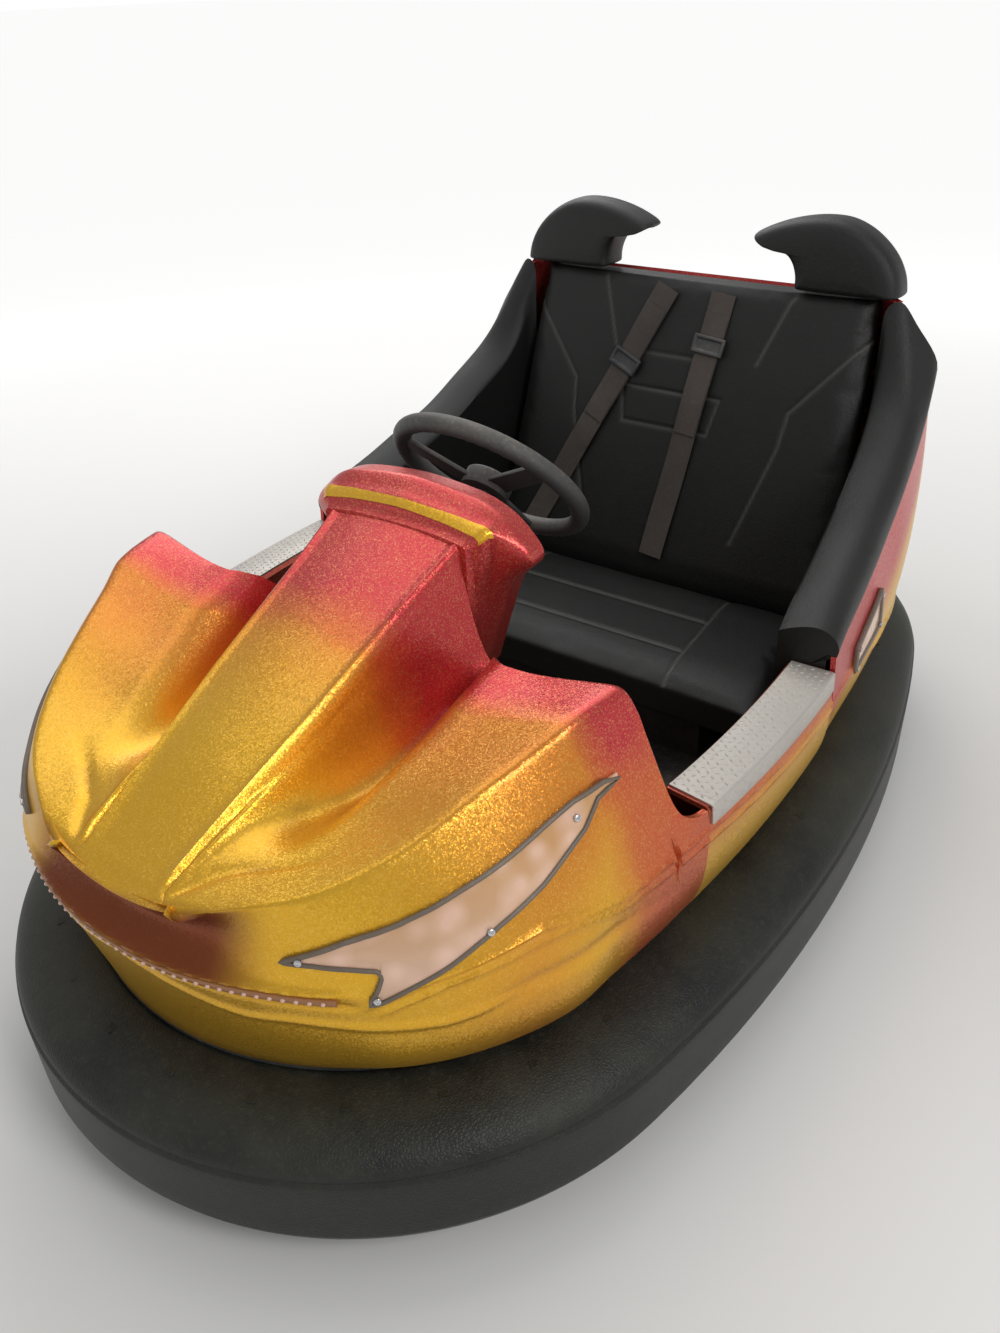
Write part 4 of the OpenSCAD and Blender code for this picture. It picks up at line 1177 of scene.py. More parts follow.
@dataclass
class FrontCowl:
    """Nose, fenders, wings and hood in one moulding."""

    cowls: Cowls
    hood_start: float = 12.2
    side_steps: int = 92
    rows: int = 84
    tongue_nose: float = 0.070
    tongue_dash: float = 0.122
    ridge_nose: float = 0.494
    ridge_dash: float = 0.714
    crown: float = 0.010
    valley: float = 0.038
    dip: float = 0.125
    dash_front: float = 0.345
    tongue_tip: float = 0.107
    hood_end: float = 80.05
    wing_from: float = 0.155
    wing_run: float = 0.085
    shares: tuple[float, ...] = (0, .008, .016, .025, .034, .045, .06, .085, .12, .16, .21, .27, .33, .39,
                                 .45, .51, .57, .63, .69, .75, .81, .86, .91, .95, .98, 1)
    soft: float = 0.012
    soft_reach: float = 0.030
    crease: Pairs = ((-.863, .080), (-.808, .117), (-.786, .146), (-.753, .195),
                                               (-.725, .235))
    crease_deep: float = 0.005
    inner: tuple[float, ...] = (-1, -.975, -.95, -.92, -.88, -.8, -.65, -.5, -.33, -.17, 0, .17, .33, .5, .65,
                                .8, .88, .92, .95, .975, 1)

    def __post_init__(self) -> None:
        """Lays out the hood's columns and the flank's stations."""
        self.columns = ([(-1, s) for s in reversed(self.shares[1:])] + [(0, s) for s in self.inner]
                        + [(1, s) for s in self.shares[1:]])
        self.rows_at = [self.hood_start + (self.hood_end - self.hood_start) * k / self.side_steps
                        for k in range(self.side_steps + 1)]
        edge = self.edge(self.hood_start)[0]
        self.nose_at = [self.hood_start * self.lateral(self.hood_start, c, edge) / edge for c in self.columns]
        tips = [self.hood_end + (self.cowls.door_front_deg - self.hood_end) * k / 24 for k in range(1, 25)]
        side = self.rows_at[1:] + tips
        lip = self.cowls.tip_start + .36 * (self.cowls.door_front_deg - self.cowls.tip_start)
        self.rows_at += [t for t in tips if t < lip]
        self.stations = [-t for t in reversed(side)] + self.nose_at + side

    def inboard(self, ax: float) -> float:
        """1 near the car's middle, easing to 0 where the wings begin."""
        return 1 - ease((ax - self.wing_from) / self.wing_run)

    def edge(self, angle: float) -> Point:
        """The crest's point at an angle."""
        return self.cowls.point(angle, self.cowls.top(angle), fine=False)

    def along(self, y: float) -> float:
        """The share of the way from the tongue's tip to the dash."""
        o = self.cowls.outline
        return (y + o.length / 2 - self.tongue_tip) / (o.length / 2 - self.tongue_tip - self.dash_front)

    def lateral(self, angle: float, column: tuple[int, float], edge: float) -> float:
        """How far from the middle a column is in a row, signed."""
        half = self.tongue_nose + (self.tongue_dash - self.tongue_nose) * self.along(self.edge(angle)[1])
        return half * column[1] if column[0] == 0 else column[0] * (half + (edge - half) * column[1])

    def hood(self, row: int, col: int) -> Point:
        """A point of the hood."""
        angle, column = self.rows_at[row], self.columns[col]
        c = self.edge(angle)
        if row > self.side_steps:
            end, last = self.edge(self.hood_end), self.hood(self.side_steps, col)
            share = ease((column[1] - .5) / .5) if column[0] else 0
            return (last[0] + column[0] * (c[0] - end[0]) * share,
                    *(last[k] + (c[k] - end[k]) * share for k in (1, 2)))
        s = row / self.side_steps
        if row == 0:
            return self.edge(self.nose_at[col])
        x = self.lateral(angle, column, c[0])
        ax = abs(x)
        run = ease((s - .7) / .3) * self.inboard(ax)
        y = c[1] - run * (self.edge(self.hood_end)[1] + self.dash_front + .0003)
        g = self.along(y)
        half = abs(self.lateral(angle, (0, 1.0), c[0]))
        ridge = self.ridge_nose + (self.ridge_dash - self.ridge_nose) * g
        fade = ease((s - .03) / .18)
        if column[0] == 0:
            z = ridge + self.crown * ease(3 * g) * (1 - (ax / half) ** 2)
            z += fade * (.0045 * bump(half - ax - .007, .0040) - .004 * bump(half - ax, .003))
        else:
            q = max(0.0, (ax - half) / (c[0] - half))
            z = ridge + (self.cowls.top(angle) - ridge) * q
            z -= self.valley * ease(2.5 * g) * sin(pi * q ** .7)
            sag = ease((s - .35) / .65) * self.inboard(ax)
            z -= self.dip * sag * sin(pi * min(1.0, 2.2 * q) ** .75)
            z += fade * (.005 * bump(ax - half - .008, .0045) - .004 * bump(ax - half, .003))
            z -= self.crease_depth(ax, y) * fade
        near = ease(9 * s)
        f, first = self.edge(self.nose_at[col]), self.edge(self.hood_start)
        front = (f[0] * (c[0] / first[0]), f[1] + c[1] - first[1], f[2])
        return tuple(a * near + b * (1 - near) for a, b in zip((x, y, z), front))

    def crease_depth(self, x: float, y: float) -> float:
        """How deep the crease beside the tongue is at a place."""
        across = x - polyline(self.crease, y)
        return self.crease_deep * ease((self.crease[-1][0] - y) / .06) * bump(across, .010)

    def zone(self, p: Vector) -> Colour:
        """Red share, painted shade and dusty share at a place of the cowl: painted shade next to the rubber,
        in the mouth's recess and along the groove under the nose strip.
        """
        ax = abs(p.x)
        ahead = -self.dash_front - self.wing_run * (1 - self.inboard(ax)) - p.y
        tongue = (1 - ease((ahead - .06) / .22)) * (1 - ease((ax - .14) / .08))
        gap = (1 - ease((ahead - .02) / .13)) * ease((ax - .10) / .06)
        glow = .42 * (1 - ease((ahead - .10) / .27)) * (1 - ease((ax - .42) / .06))
        red = max(tongue, gap * (1 - .35 * ease((ax - .40) / .05)), glow)
        # painted shade close to the rubber
        painted_shade = skirt_shade(p.z)
        if p.y < -self.cowls.outline.nose_y:
            angle = self.cowls.outline.nose_angle(ax, p.y)
            crest = self.cowls.form(min(angle, 80), 2)
            # painted shade in the mouth's recess under the nose
            painted_shade += ease((29 - angle) / 12) * ease((p.z - .418) / .010) * ease((crest + .004 - p.z) / .010)
            # painted shade along the groove under the nose strip
            painted_shade += .6 * bump(p.z - .405, .004) * ease((38 - angle) / 4)
        return red, min(1.0, painted_shade), .1 * ease((.30 - p.z) / .05)

    def build(self, maker: Maker) -> None:
        """Models flank and hood as grids, merges them, rounds them along the crest and thickens them."""
        c = self.cowls
        o = c.outline

        def flank(i: int, j: int) -> Point:
            t = self.stations[i]
            top = c.top(t)
            z = c.skirt_h + (top - c.skirt_h) * j / (self.rows - 1)
            if j == self.rows - 1:
                return self.edge(t)
            belt = c.form(t, 5)
            mouth = sin(pi * min(1, max(0, (z - belt) / (top - belt))))
            return c.point(t, z, -.010 * ease((27 - abs(t)) / 10) * mouth)

        shell = sheet_of("front_cowl", len(self.stations), self.rows, flank)
        hood = sheet_of("hood", len(self.columns), len(self.rows_at), lambda i, j: self.hood(j, i))
        outward(shell, lambda p: Vector((p.x, p.y + o.nose_y, 0)))
        outward(hood, lambda p: Vector((0, 0, 1)))
        tips = [self.edge(t) for t in self.stations if t > 78]
        shell = join([shell, hood])
        edit(shell, merge(0.0004))
        group = shell.vertex_groups.new(name="crest")
        for v in shell.data.vertices:
            if v.co.y > -.45:
                near = min(dist((abs(v.co.x), v.co.y, v.co.z), e) for e in tips)
            else:
                near = self.crest_gap(v.co)
            if near < self.soft_reach:
                group.add([v.index], bump(near, self.soft), "REPLACE")
        modifier(shell, "SMOOTH", factor=0.5, iterations=12, vertex_group="crest")
        modifier(shell, "SOLIDIFY", thickness=c.wall, offset=-1.0, use_rim=True)
        tint(shell, self.zone)
        maker.done(shell, maker.finishes.paint, "body_paint", "body_front", sharp=48)

    def crest_gap(self, p: Vector) -> float:
        """Roughly how far a point is from the crest."""
        o = self.cowls.outline
        e = self.edge(min(abs(o.nose_angle(p.x, p.y)), 80.0))
        return hypot(hypot(p.x, p.y + o.nose_y) - hypot(e[0], e[1] + o.nose_y), p.z - e[2])


@dataclass
class NoseStrip:
    """The light strip along the nose, with its row of small lamps."""

    cowls: Cowls
    reach: float = 36.0
    high: float = 0.4215
    tall: float = 0.0105
    steps: int = 120

    def build(self, maker: Maker) -> None:
        """Models the strip's lens and its lamps."""
        path, outs = [], []
        n = self.steps
        for k in range(n + 1):
            t = -self.reach + 2 * self.reach * k / n
            z = self.high - self.tall / 2 - .003 * ease((abs(t) - 24) / 12)
            path.append(Vector(self.cowls.point(t, z, .0015, fine=False)))
            outs.append(self.cowls.normal(t, z))
        obj = sweep("nose_strip", path, outs, pillow(self.tall, .005, .0022))
        maker.done(obj, maker.finishes.strip, "light_strip", "nose_light_strip")
        dots = [stand(o, p + o * .0022) for p, o in list(zip(path, outs))[3:n - 1:3]]
        small_lamps("nose_lamps", dots, maker)


def small_lamps(name: str, places: Iterable[Matrix], maker: Maker) -> None:
    """A strip's row of small round lamps, as one piece."""
    dot = primitive(bpy.ops.mesh.primitive_uv_sphere_add, name, segments=10, ring_count=6, radius=.0030)
    maker.done(copies(dot, places), maker.finishes.dots, "light_strip")


@dataclass
class Headlamp:
    """A swoosh-shaped lamp on the fender: frame, lens and screws."""

    cowls: Cowls
    side: Side
    form: tuple[tuple[float, ...], ...] = (
        (0, 29, .462, 29, .4625), (.1, 33.4, .4615, 33.4, .475), (.2, 38, .457, 37.5, .486),
        (.28, 41.6, .452, 40.5, .491),
        (.31, 42.3, .446, 42, .493), (.345, 41.4, .428, 43.6, .496), (.38, 40.1, .4125, 45.2, .499),
        (.40, 41.6, .414, 46.3, .502), (.47, 46.2, .431, 50, .510), (.54, 51, .448, 54, .520),
        (.62, 55, .464, 58.2, .529), (.70, 58.6, .477, 62.5, .539), (.80, 66, .500, 68, .553),
        (.90, 74.6, .535, 74, .567), (1, 79, .566, 79, .572))
    screws: Pairs = ((31.5, .4668), (41.3, .4205), (73.6, .552), (57, .4755))

    def at(self, u: float, v: float, out: float) -> Vector:
        """A point of the lamp: u along it, v from its lower to its upper edge."""
        t0, z0, t1, z1 = (polyline(self.form, u, k) for k in (1, 2, 3, 4))
        t, z = t0 + (t1 - t0) * v, z0 + (z1 - z0) * v
        return Vector(self.cowls.point(t * self.side.value, z, out, fine=False))

    def build(self, maker: Maker) -> None:
        """Models the lamp's lens, frame and screws."""
        o = self.cowls.outline
        name, sign = self.side.word, self.side.value
        us = [i / 89 for i in range(90)]

        def bulged(i: int, j: int) -> Vector:
            dome = sin(pi * j / 8) * sin(pi * us[i])
            return self.at(us[i], j / 8, .0035 + .0035 * dome)

        lens = sheet_of("headlamp_lens_" + name, len(us), 9, bulged)
        outward(lens, lambda p: Vector((p.x, p.y + o.nose_y, .1)), .003)
        maker.done(lens, maker.finishes.lens, "lamp_lens", "headlamp_" + name)
        path = [self.at(u, 0.0, .003) for u in us] + [self.at(u, 1.0, .003) for u in reversed(us[1:-1])]
        outs = [self.cowls.normal(o.nose_angle(abs(p.x), p.y) * sign, p.z) for p in path]
        rim = sweep("headlamp_frame_" + name, path, outs, pillow(.0055, .008, .0022, 3), closed=True)
        maker.done(rim, maker.finishes.frame, "lamp_lens")
        spots = [(Vector(self.cowls.point(t * sign, z, .0075, fine=False)), self.cowls.normal(t * sign, z))
                 for t, z in self.screws]
        maker.done(screws("headlamp_screws_" + name, spots), maker.finishes.chrome, "lamp_lens")


def screws(name: str, spots: Sequence[tuple[Vector, Vector]], radius: float = .0042) -> Piece:
    """Small dome-headed screws with a slot.

    Args:
        name: the piece's name.
        spots: each screw's place and normal.
        radius: the head's radius.

    Returns:
        The screws as one piece.
    """
    obj = primitive(bpy.ops.mesh.primitive_cylinder_add, name, vertices=16, radius=radius, depth=.003)
    shape_faces(obj, facing_up, inset(radius * .25, radius * .2), inset(radius * .35), inset(.0002, -.0008))
    return copies(obj, [stand(n, p, .7 * k) for k, (p, n) in enumerate(spots)])


@dataclass
class SideLamp:
    """A slanted lamp on the rear flank with its dark frame and four screws."""

    cowls: Cowls
    side: Side
    angles: tuple[float, float] = (94.6, 97.5)
    low: tuple[float, float] = (.395, .419)
    high: tuple[float, float] = (.435, .482)

    def at(self, u: float, v: float, out: float) -> Vector:
        """A point of the lamp."""
        t = self.angles[0] + (self.angles[1] - self.angles[0]) * u
        z0 = self.low[0] + (self.low[1] - self.low[0]) * u
        z1 = self.high[0] + (self.high[1] - self.high[0]) * u
        return Vector(self.cowls.point(t * self.side.value, z0 + (z1 - z0) * v, out, fine=False))

    def build(self, maker: Maker) -> None:
        """Models the lens, the frame and the screws."""
        def bulged(i: int, j: int) -> Vector:
            dome = sin(pi * i / 23) * sin(pi * j / 9)
            return self.at(.04 + .92 * i / 23, .06 + .88 * j / 9, .004 + .003 * dome)

        lens = sheet_of("side_lens_" + self.side.word, 24, 10, bulged)
        outward(lens, lambda p: Vector((p.x, 0, 0)), .003)
        maker.done(lens, maker.finishes.lens, "lamp_lens", "side_lamp_" + self.side.word)
        ring = ([(k / 16, 0.0) for k in range(16)] + [(1.0, k / 10) for k in range(10)]
                + [(1 - k / 16, 1.0) for k in range(16)] + [(0.0, 1 - k / 10) for k in range(10)])
        path = [self.at(u, v, .0035) for u, v in ring]
        rim = sweep("side_frame_" + self.side.word, path, [Vector((self.side.value, 0, .1)) for _ in path],
                    pillow(.009, .008, .0025, 3), closed=True)
        maker.done(rim, maker.finishes.frame, "lamp_lens")
        out = self.cowls.normal(96 * self.side.value, .44)
        spots = [(self.at(u, v, .0078), out) for u in (.03, .97) for v in (.06, .94)]
        maker.done(screws("side_screws_" + self.side.word, spots), maker.finishes.chrome, "lamp_lens")


@dataclass
class Sill:
    """The painted sill under a door opening, and its chequered tread plate."""

    cowls: Cowls
    side: Side
    foot: float = 0.1353
    tread: float = 0.003
    flange: float = 0.027
    pitch: float = 0.0115
    clear: float = 0.0003
    flank_steps: int = 60

    def zone(self, p: Vector) -> Colour:
        """Red share, painted shade next to the rubber and dusty share of the sill."""
        return .75 * ease((p.z - .36) / .09), skirt_shade(p.z), .15

    def section(self) -> list[tuple[float, float]]:
        """The sill's outer flank and top as offset and height, from below."""
        c = self.cowls
        n = self.flank_steps
        heights = [c.skirt_h + (c.sill_h - .006 - c.skirt_h) * k / n for k in range(n + 1)]
        edge, inside = -c.sill_in, -c.sill_in - c.sill_w
        return [(c.sill_offset(z), z) for z in heights] + [
            (edge - .002, c.sill_h - .003), (edge - .006, c.sill_h), (inside + .006, c.sill_h),
            (inside, c.sill_h - .006), (inside, self.foot)]

    def build(self, maker: Maker) -> None:
        """Models the sill and its plate."""
        c = self.cowls
        section = self.section()
        n = 60
        a, b = c.door_front_deg, c.door_rear_deg

        def at(i: int, j: int) -> Point:
            t = (a + (b - a) * i / (n - 1)) * self.side.value
            d, z = section[j]
            if j <= self.flank_steps:
                d += sum(line.lift(abs(t), z) for line in c.lines)
            x, y = c.outline.at(t, d)
            return x, y, z

        sill = sheet_of("sill_" + self.side.word, n, len(section), at)
        outward(sill, lambda p: Vector((self.side.value, 0, .5)) if p.z > .3 else Vector((0, 0, 0)), c.wall)
        tint(sill, self.zone)
        maker.done(sill, maker.finishes.paint, "body_paint", "body_sill_" + self.side.word)
        self.plate(maker)

    def plate(self, maker: Maker) -> None:
        """Models the tread plate and its raised diamonds."""
        c = self.cowls
        top, edge = c.sill_h + self.clear, -c.sill_in + self.clear
        foot = c.sill_offset(c.sill_h - self.flange) + self.clear
        up = top + self.tread
        line = [(.006 - c.sill_in - c.sill_w, up), (-.11, up), (edge - .002, up),
                (edge + .0012, top + self.tread * .8), (edge + self.tread, top + self.tread * .2),
                (foot + self.tread, c.sill_h - self.flange)]
        a, b = c.door_front_deg + .1, c.door_rear_deg - .1
        s = self.side.value

        def at(i: int, j: int) -> Point:
            x, y = c.outline.at((a + (b - a) * i / 39) * s, line[j][0])
            return x, y, line[j][1]

        plate = sheet_of("tread_" + self.side.word, 40, len(line), at)
        outward(plate, lambda p: Vector((s, 0, 2)), self.tread)
        modifier(plate, "BEVEL", width=.0006, segments=2, limit_method="ANGLE")
        maker.done(plate, maker.finishes.alloy, "tread_metal", "tread_plate_" + self.side.word, sharp=30)
        gem = primitive(bpy.ops.mesh.primitive_cone_add, "tread_gems_" + self.side.word, vertices=4,
                        radius1=.0052, radius2=.0012, depth=.0012)
        gem.scale = (1.0, .42, 1.0)
        settle(gem)
        places = []
        span = radians(b - a) * (c.outline.side_r - .11)
        count = int(span / self.pitch)
        for i in range(count):
            for j in range(8):
                on_top = j < 6
                shift = .45 * (j % 2) if on_top else .5 * (j % 2)
                t = a + (b - a) * (i + .5 + shift) / (count + .6)
                turn = radians(45 if (i + j) % 2 else -45)
                if on_top:
                    x, y = c.outline.at(t * s, .0105 * j - .1345)
                    upright = Matrix.Rotation(turn, 4, "Z")
                    places.append(Matrix.Translation((x, y, top + self.tread + .0004)) @ upright)
                else:
                    z = c.sill_h - .007 - .011 * (j - 6)
                    d = edge + self.tread + (foot - edge) * (c.sill_h - z) / self.flange + self.clear
                    x, y = c.outline.at(t * s, d)
                    places.append(stand(Vector((s, 0, .06)), (x, y, z), turn))
        maker.done(copies(gem, places), maker.finishes.alloy, "tread_metal", sharp=20)


@dataclass
class RearCowl:
    """The painted cowl round the tail, its deck behind the seat and its light strips."""

    cowls: Cowls
    rows: int = 90
    side_steps: int = 60
    tail_steps: int = 130
    deck_y: float = 0.622
    deck_h: float = 0.850
    strip_hs: tuple[float, float] = (0.431, 0.351)
    soft: float = 0.022
    soft_reach: float = 0.050
    side_edge: Pairs = (
        (0, .483), (.07, .497), (.15, .514), (.23, .538), (.31, .562), (.39, .597), (.51, .656), (.56, .70))

    def zone(self, p: Vector) -> Colour:
        """Red share, painted shade next to the rubber and dusty share: rose at the upper edge, then orange,
        then gold.
        """
        t = 180 - abs(degrees(atan2(p.x, p.y + .35))) if p.y > .5 else 95
        edge = self.cowls.form(max(92.0, min(t, 179.0)), 2) if p.y > .56 else polyline(self.side_edge, p.y)
        return 1 - ease((edge - p.z - .05) / .12), skirt_shade(p.z), .12 * ease((.30 - p.z) / .05)

    def build(self, maker: Maker) -> None:
        """Models the flank, its deck and the strips."""
        c = self.cowls
        a, b, e = c.door_rear_deg, c.pad_end, c.tail_start
        side = [a + (b - a) * k / self.side_steps for k in range(self.side_steps + 1)]
        tail = [e + (360 - 2 * e) * k / self.tail_steps for k in range(self.tail_steps + 1)]
        stations = side + [b + (e - b) * k / 6 for k in range(1, 6)] + tail
        stations += [360 - b - (e - b) * k / 6 for k in range(5, 0, -1)] + [360 - t for t in reversed(side)]

        def top(t: float) -> Vector:
            return Vector(c.point(t, c.form(t, 2), fine=False))

        def wall(i: int, j: int) -> Point:
            share = j / (self.rows - 1)
            z = c.skirt_h + (c.form(stations[i], 2) - c.skirt_h) * share
            return c.point(stations[i], z, fine=share < 1)

        flank = sheet_of("rear_cowl", len(stations), self.rows, wall)
        outward(flank, lambda p: Vector((p.x, p.y * .3, 0)))
        start = next(t for t in tail if top(t).y > self.deck_y + .004)
        corner = top(start).x

        def deck(i: int, j: int) -> Point:
            rim = top(tail[i])
            share = min(max((180 - tail[i]) / (180 - start), -1), 1)
            inner = Vector((corner * share, self.deck_y, self.deck_h))
            s = j / 16
            p = rim.lerp(inner, s)
            p.z += .006 * sin(pi * s) * ease((rim.y - self.deck_y) / .1)
            return tuple(p)

        lid = sheet_of("deck", len(tail), 17, deck)
        outward(lid, lambda p: Vector((0, 0, 1)))
        shell = join([flank, lid])
        edit(shell, merge(0.0003))
        group = shell.vertex_groups.new(name="crest")
        mid = c.outline.tail_y
        for v in shell.data.vertices:
            if v.co.y > .60 and v.co.z > .74:
                t = degrees(atan2(abs(v.co.x), mid - v.co.y))
                rim = top(min(max(t, 107), 180))
                out = hypot(v.co.x, v.co.y - mid) - hypot(rim.x, rim.y - mid)
                gap = hypot(out, v.co.z - rim.z)
                if gap < self.soft_reach:
                    group.add([v.index], bump(gap, self.soft), "REPLACE")
        modifier(shell, "SMOOTH", factor=0.5, iterations=30, vertex_group="crest")
        modifier(shell, "SOLIDIFY", thickness=c.wall, offset=-1.0)
        tint(shell, self.zone)
        maker.done(shell, maker.finishes.paint, "body_paint", "body_rear", sharp=48)
        self.strips(maker)

    def strips(self, maker: Maker) -> None:
        """Models the two rows of small lamps on the tail's ribs."""
        c = self.cowls
        parts, dots = [], []
        for h in self.strip_hs:
            path, outs = [], []
            for k in range(121):
                t = 108 + 144 * k / 120
                path.append(Vector(c.point(t, h, .0042)))
                outs.append(c.normal(t, h))
            parts.append(sweep("tail_strip_%d" % round(h * 1000), path, outs, pillow(.010, .005, .002)))
            dots += [stand(o, p + o * .002) for p, o in list(zip(path, outs))[2:119:3]]
        strip = join(parts)
        strip.name = "tail_strips"
        maker.done(strip, maker.finishes.strip, "light_strip", "tail_light_strips")
        small_lamps("tail_lamps", dots, maker)


@dataclass
class Dash:
    """The dash with its raised band and the bright stripe along the band's lower edge."""

    front: float = 0.345
    deep: float = 0.083
    half: float = 0.186
    top: float = 0.765
    band: float = 0.0055
    band_from: float = 0.14
    ends: int = 11
    form: tuple[tuple[float, Pairs], ...] = (
        (0, ((0, .038), (.35, .040), (.58, .045), (.65, .049), (.66, .065), (.66, .165), (.60, .260))),
        (.33, ((0, .016), (.4, .020), (.62, .026), (.73, .030), (.75, .050), (.68, .155), (.60, .260))),
        (.66, ((0, 0), (.43, .005), (.66, .013), (.84, .036), (1, .075), (.84, .120), (.60, .260))),
        (1, ((0, .003), (.43, .007), (.67, .017), (.86, .038), (1, .075), (.84, .120), (.60, .260))))

    def ring(self, share: float) -> list[Point]:
        """The dash's outline at a share of its depth, raised where the band lies."""
        k = max(i for i, row in enumerate(self.form) if row[0] <= share)
        nxt = self.form[min(k + 1, len(self.form) - 1)]
        row = self.form[k]
        w = (share - row[0]) / (nxt[0] - row[0]) if nxt is not row else 0
        w = .4 * ease(w) + .6 * w
        half = [(a[0] + (b[0] - a[0]) * w, a[1] + (b[1] - a[1]) * w) for a, b in zip(row[1], nxt[1])]
        pts = spline([(-x, d) for x, d in reversed(half)] + half[1:], 5)
        y = share * self.deep - self.front
        rise = self.band * ease((share - self.band_from + .02) / .03)
        lifts = [rise * ease((.115 - d) / .03) for _, d in pts]
        return [(x * (self.half + up), y, self.top - d + up * (1 - abs(x))) for (x, d), up in zip(pts, lifts)]

    def zone(self, p: Vector) -> Colour:
        """Red share, painted shade towards the dash's foot, and dusty share of the dash."""
        # painted shade: the dash is painted darker below its band
        return .95, .25 * ease((.60 - p.z) / .1), .05

    def build(self, maker: Maker) -> None:
        """Models the dash's body, band and stripe."""
        shares = sorted([k / 24 for k in range(25)] + [self.band_from + .004 * k for k in range(-5, 4)])
        body = loft("dash", [self.ring(s) for s in shares])
        tint(body, self.zone)
        maker.done(body, maker.finishes.paint, "body_paint", "dash_panel", sharp=35)
        n = len(self.ring(0))
        low, high = self.ends, n - 1 - self.ends

        def out(p: Vector) -> Vector:
            return Vector((p.x, -.12, .16))

        def stripe(i: int, j: int) -> Point:
            x = self.ring(.2)[low + i][0] / self.half
            share = self.band_from + .014 + (.010 + .013 * x * x) / self.deep * j / 4
            p = Vector(self.ring(share)[low + i])
            return tuple(p + out(p).normalized() * .0012)

        line = sheet_of("dash_stripe", high - low + 1, 5, stripe)
        outward(line, out, .0008)
        tint(line, lambda p: (0, 0, 0))
        maker.done(line, maker.finishes.paint, "body_paint", sharp=35)


@dataclass
class SteeringGear:
    """Steering wheel with three flat spokes, and its column."""

    height: float = 0.705
    fore: float = 0.115
    lean: float = 50.0
    rim: float = 0.161
    grip: float = 0.014
    hub: float = 0.038

    def frame(self) -> Matrix:
        """The column's own frame: the wheel's middle, Z up the shaft."""
        return Matrix.Translation((0, -self.fore, self.height)) @ turn_about("X", -self.lean)

    def build(self, maker: Maker) -> None:
        """Models grip, spokes, hub and shaft as one wheel."""
        mid = self.rim - self.grip
        grip = primitive(bpy.ops.mesh.primitive_torus_add, "steering_rim", major_radius=mid,
                         minor_radius=self.grip, major_segments=120, minor_segments=24)
        for v in grip.data.vertices:
            a = atan2(v.co.y, v.co.x)
            k = 1 + .035 * cos(72 * a) * (v.co.z < 0)
            r = mid + (hypot(v.co.x, v.co.y) - mid) * k
            v.co.x, v.co.y, v.co.z = cos(a) * r, sin(a) * r, v.co.z * k
        parts = [grip]
        for a in (0, 120, 240):
            middle = ((self.hub - .006 + mid) / 2, 0, -.0145)
            spoke = block("spoke", (mid - self.hub + .008, .032, .007), middle)
            shape_faces(spoke, facing_up, inset(.006), inset(.002, -.002))
            modifier(spoke, "BEVEL", width=.0016, segments=2, limit_method="ANGLE")
            for v in spoke.data.vertices:
                share = (v.co.x - self.hub) / (self.rim - self.hub)
                v.co.y *= 1.15 - .35 * sin(pi * min(max(share, 0), 1))
                v.co.z += .012 * ease(share)
            parts.append(settle(spoke, turn_about("Z", a + 90)))
        hub = primitive(bpy.ops.mesh.primitive_cylinder_add, "hub", vertices=48, radius=self.hub, depth=.026,
                        location=(0, 0, -.013))
        shape_faces(settle(hub), facing_up, inset(.006, .004), inset(.009), inset(.002, -.003))
        modifier(hub, "BEVEL", width=.0012, segments=2, limit_method="ANGLE")
        parts.append(hub)
        shaft = primitive(bpy.ops.mesh.primitive_cylinder_add, "shaft", vertices=32, radius=.012, depth=.15,
                          location=(0, 0, -.09))
        shape_faces(settle(shaft), lambda c, n: abs(n.z) > .9, inset(.002, .002))
        parts.append(shaft)
        wheel = join(parts)
        wheel.name = "steering_wheel_dressed"
        maker.done(settle(wheel, self.frame()), maker.finishes.plastic, "cockpit_plastic", "steering_wheel",
                   body="steering")
        ring = primitive(bpy.ops.mesh.primitive_torus_add, "hub_ring", major_radius=.020, minor_radius=.0028,
                         major_segments=40, minor_segments=10, location=(0, 0, .0035))
        maker.done(settle(settle(ring), self.frame()), maker.finishes.chrome, "wheel_metal", body="steering")
        maker.dress(maker.finishes.plastic, "steering_column")


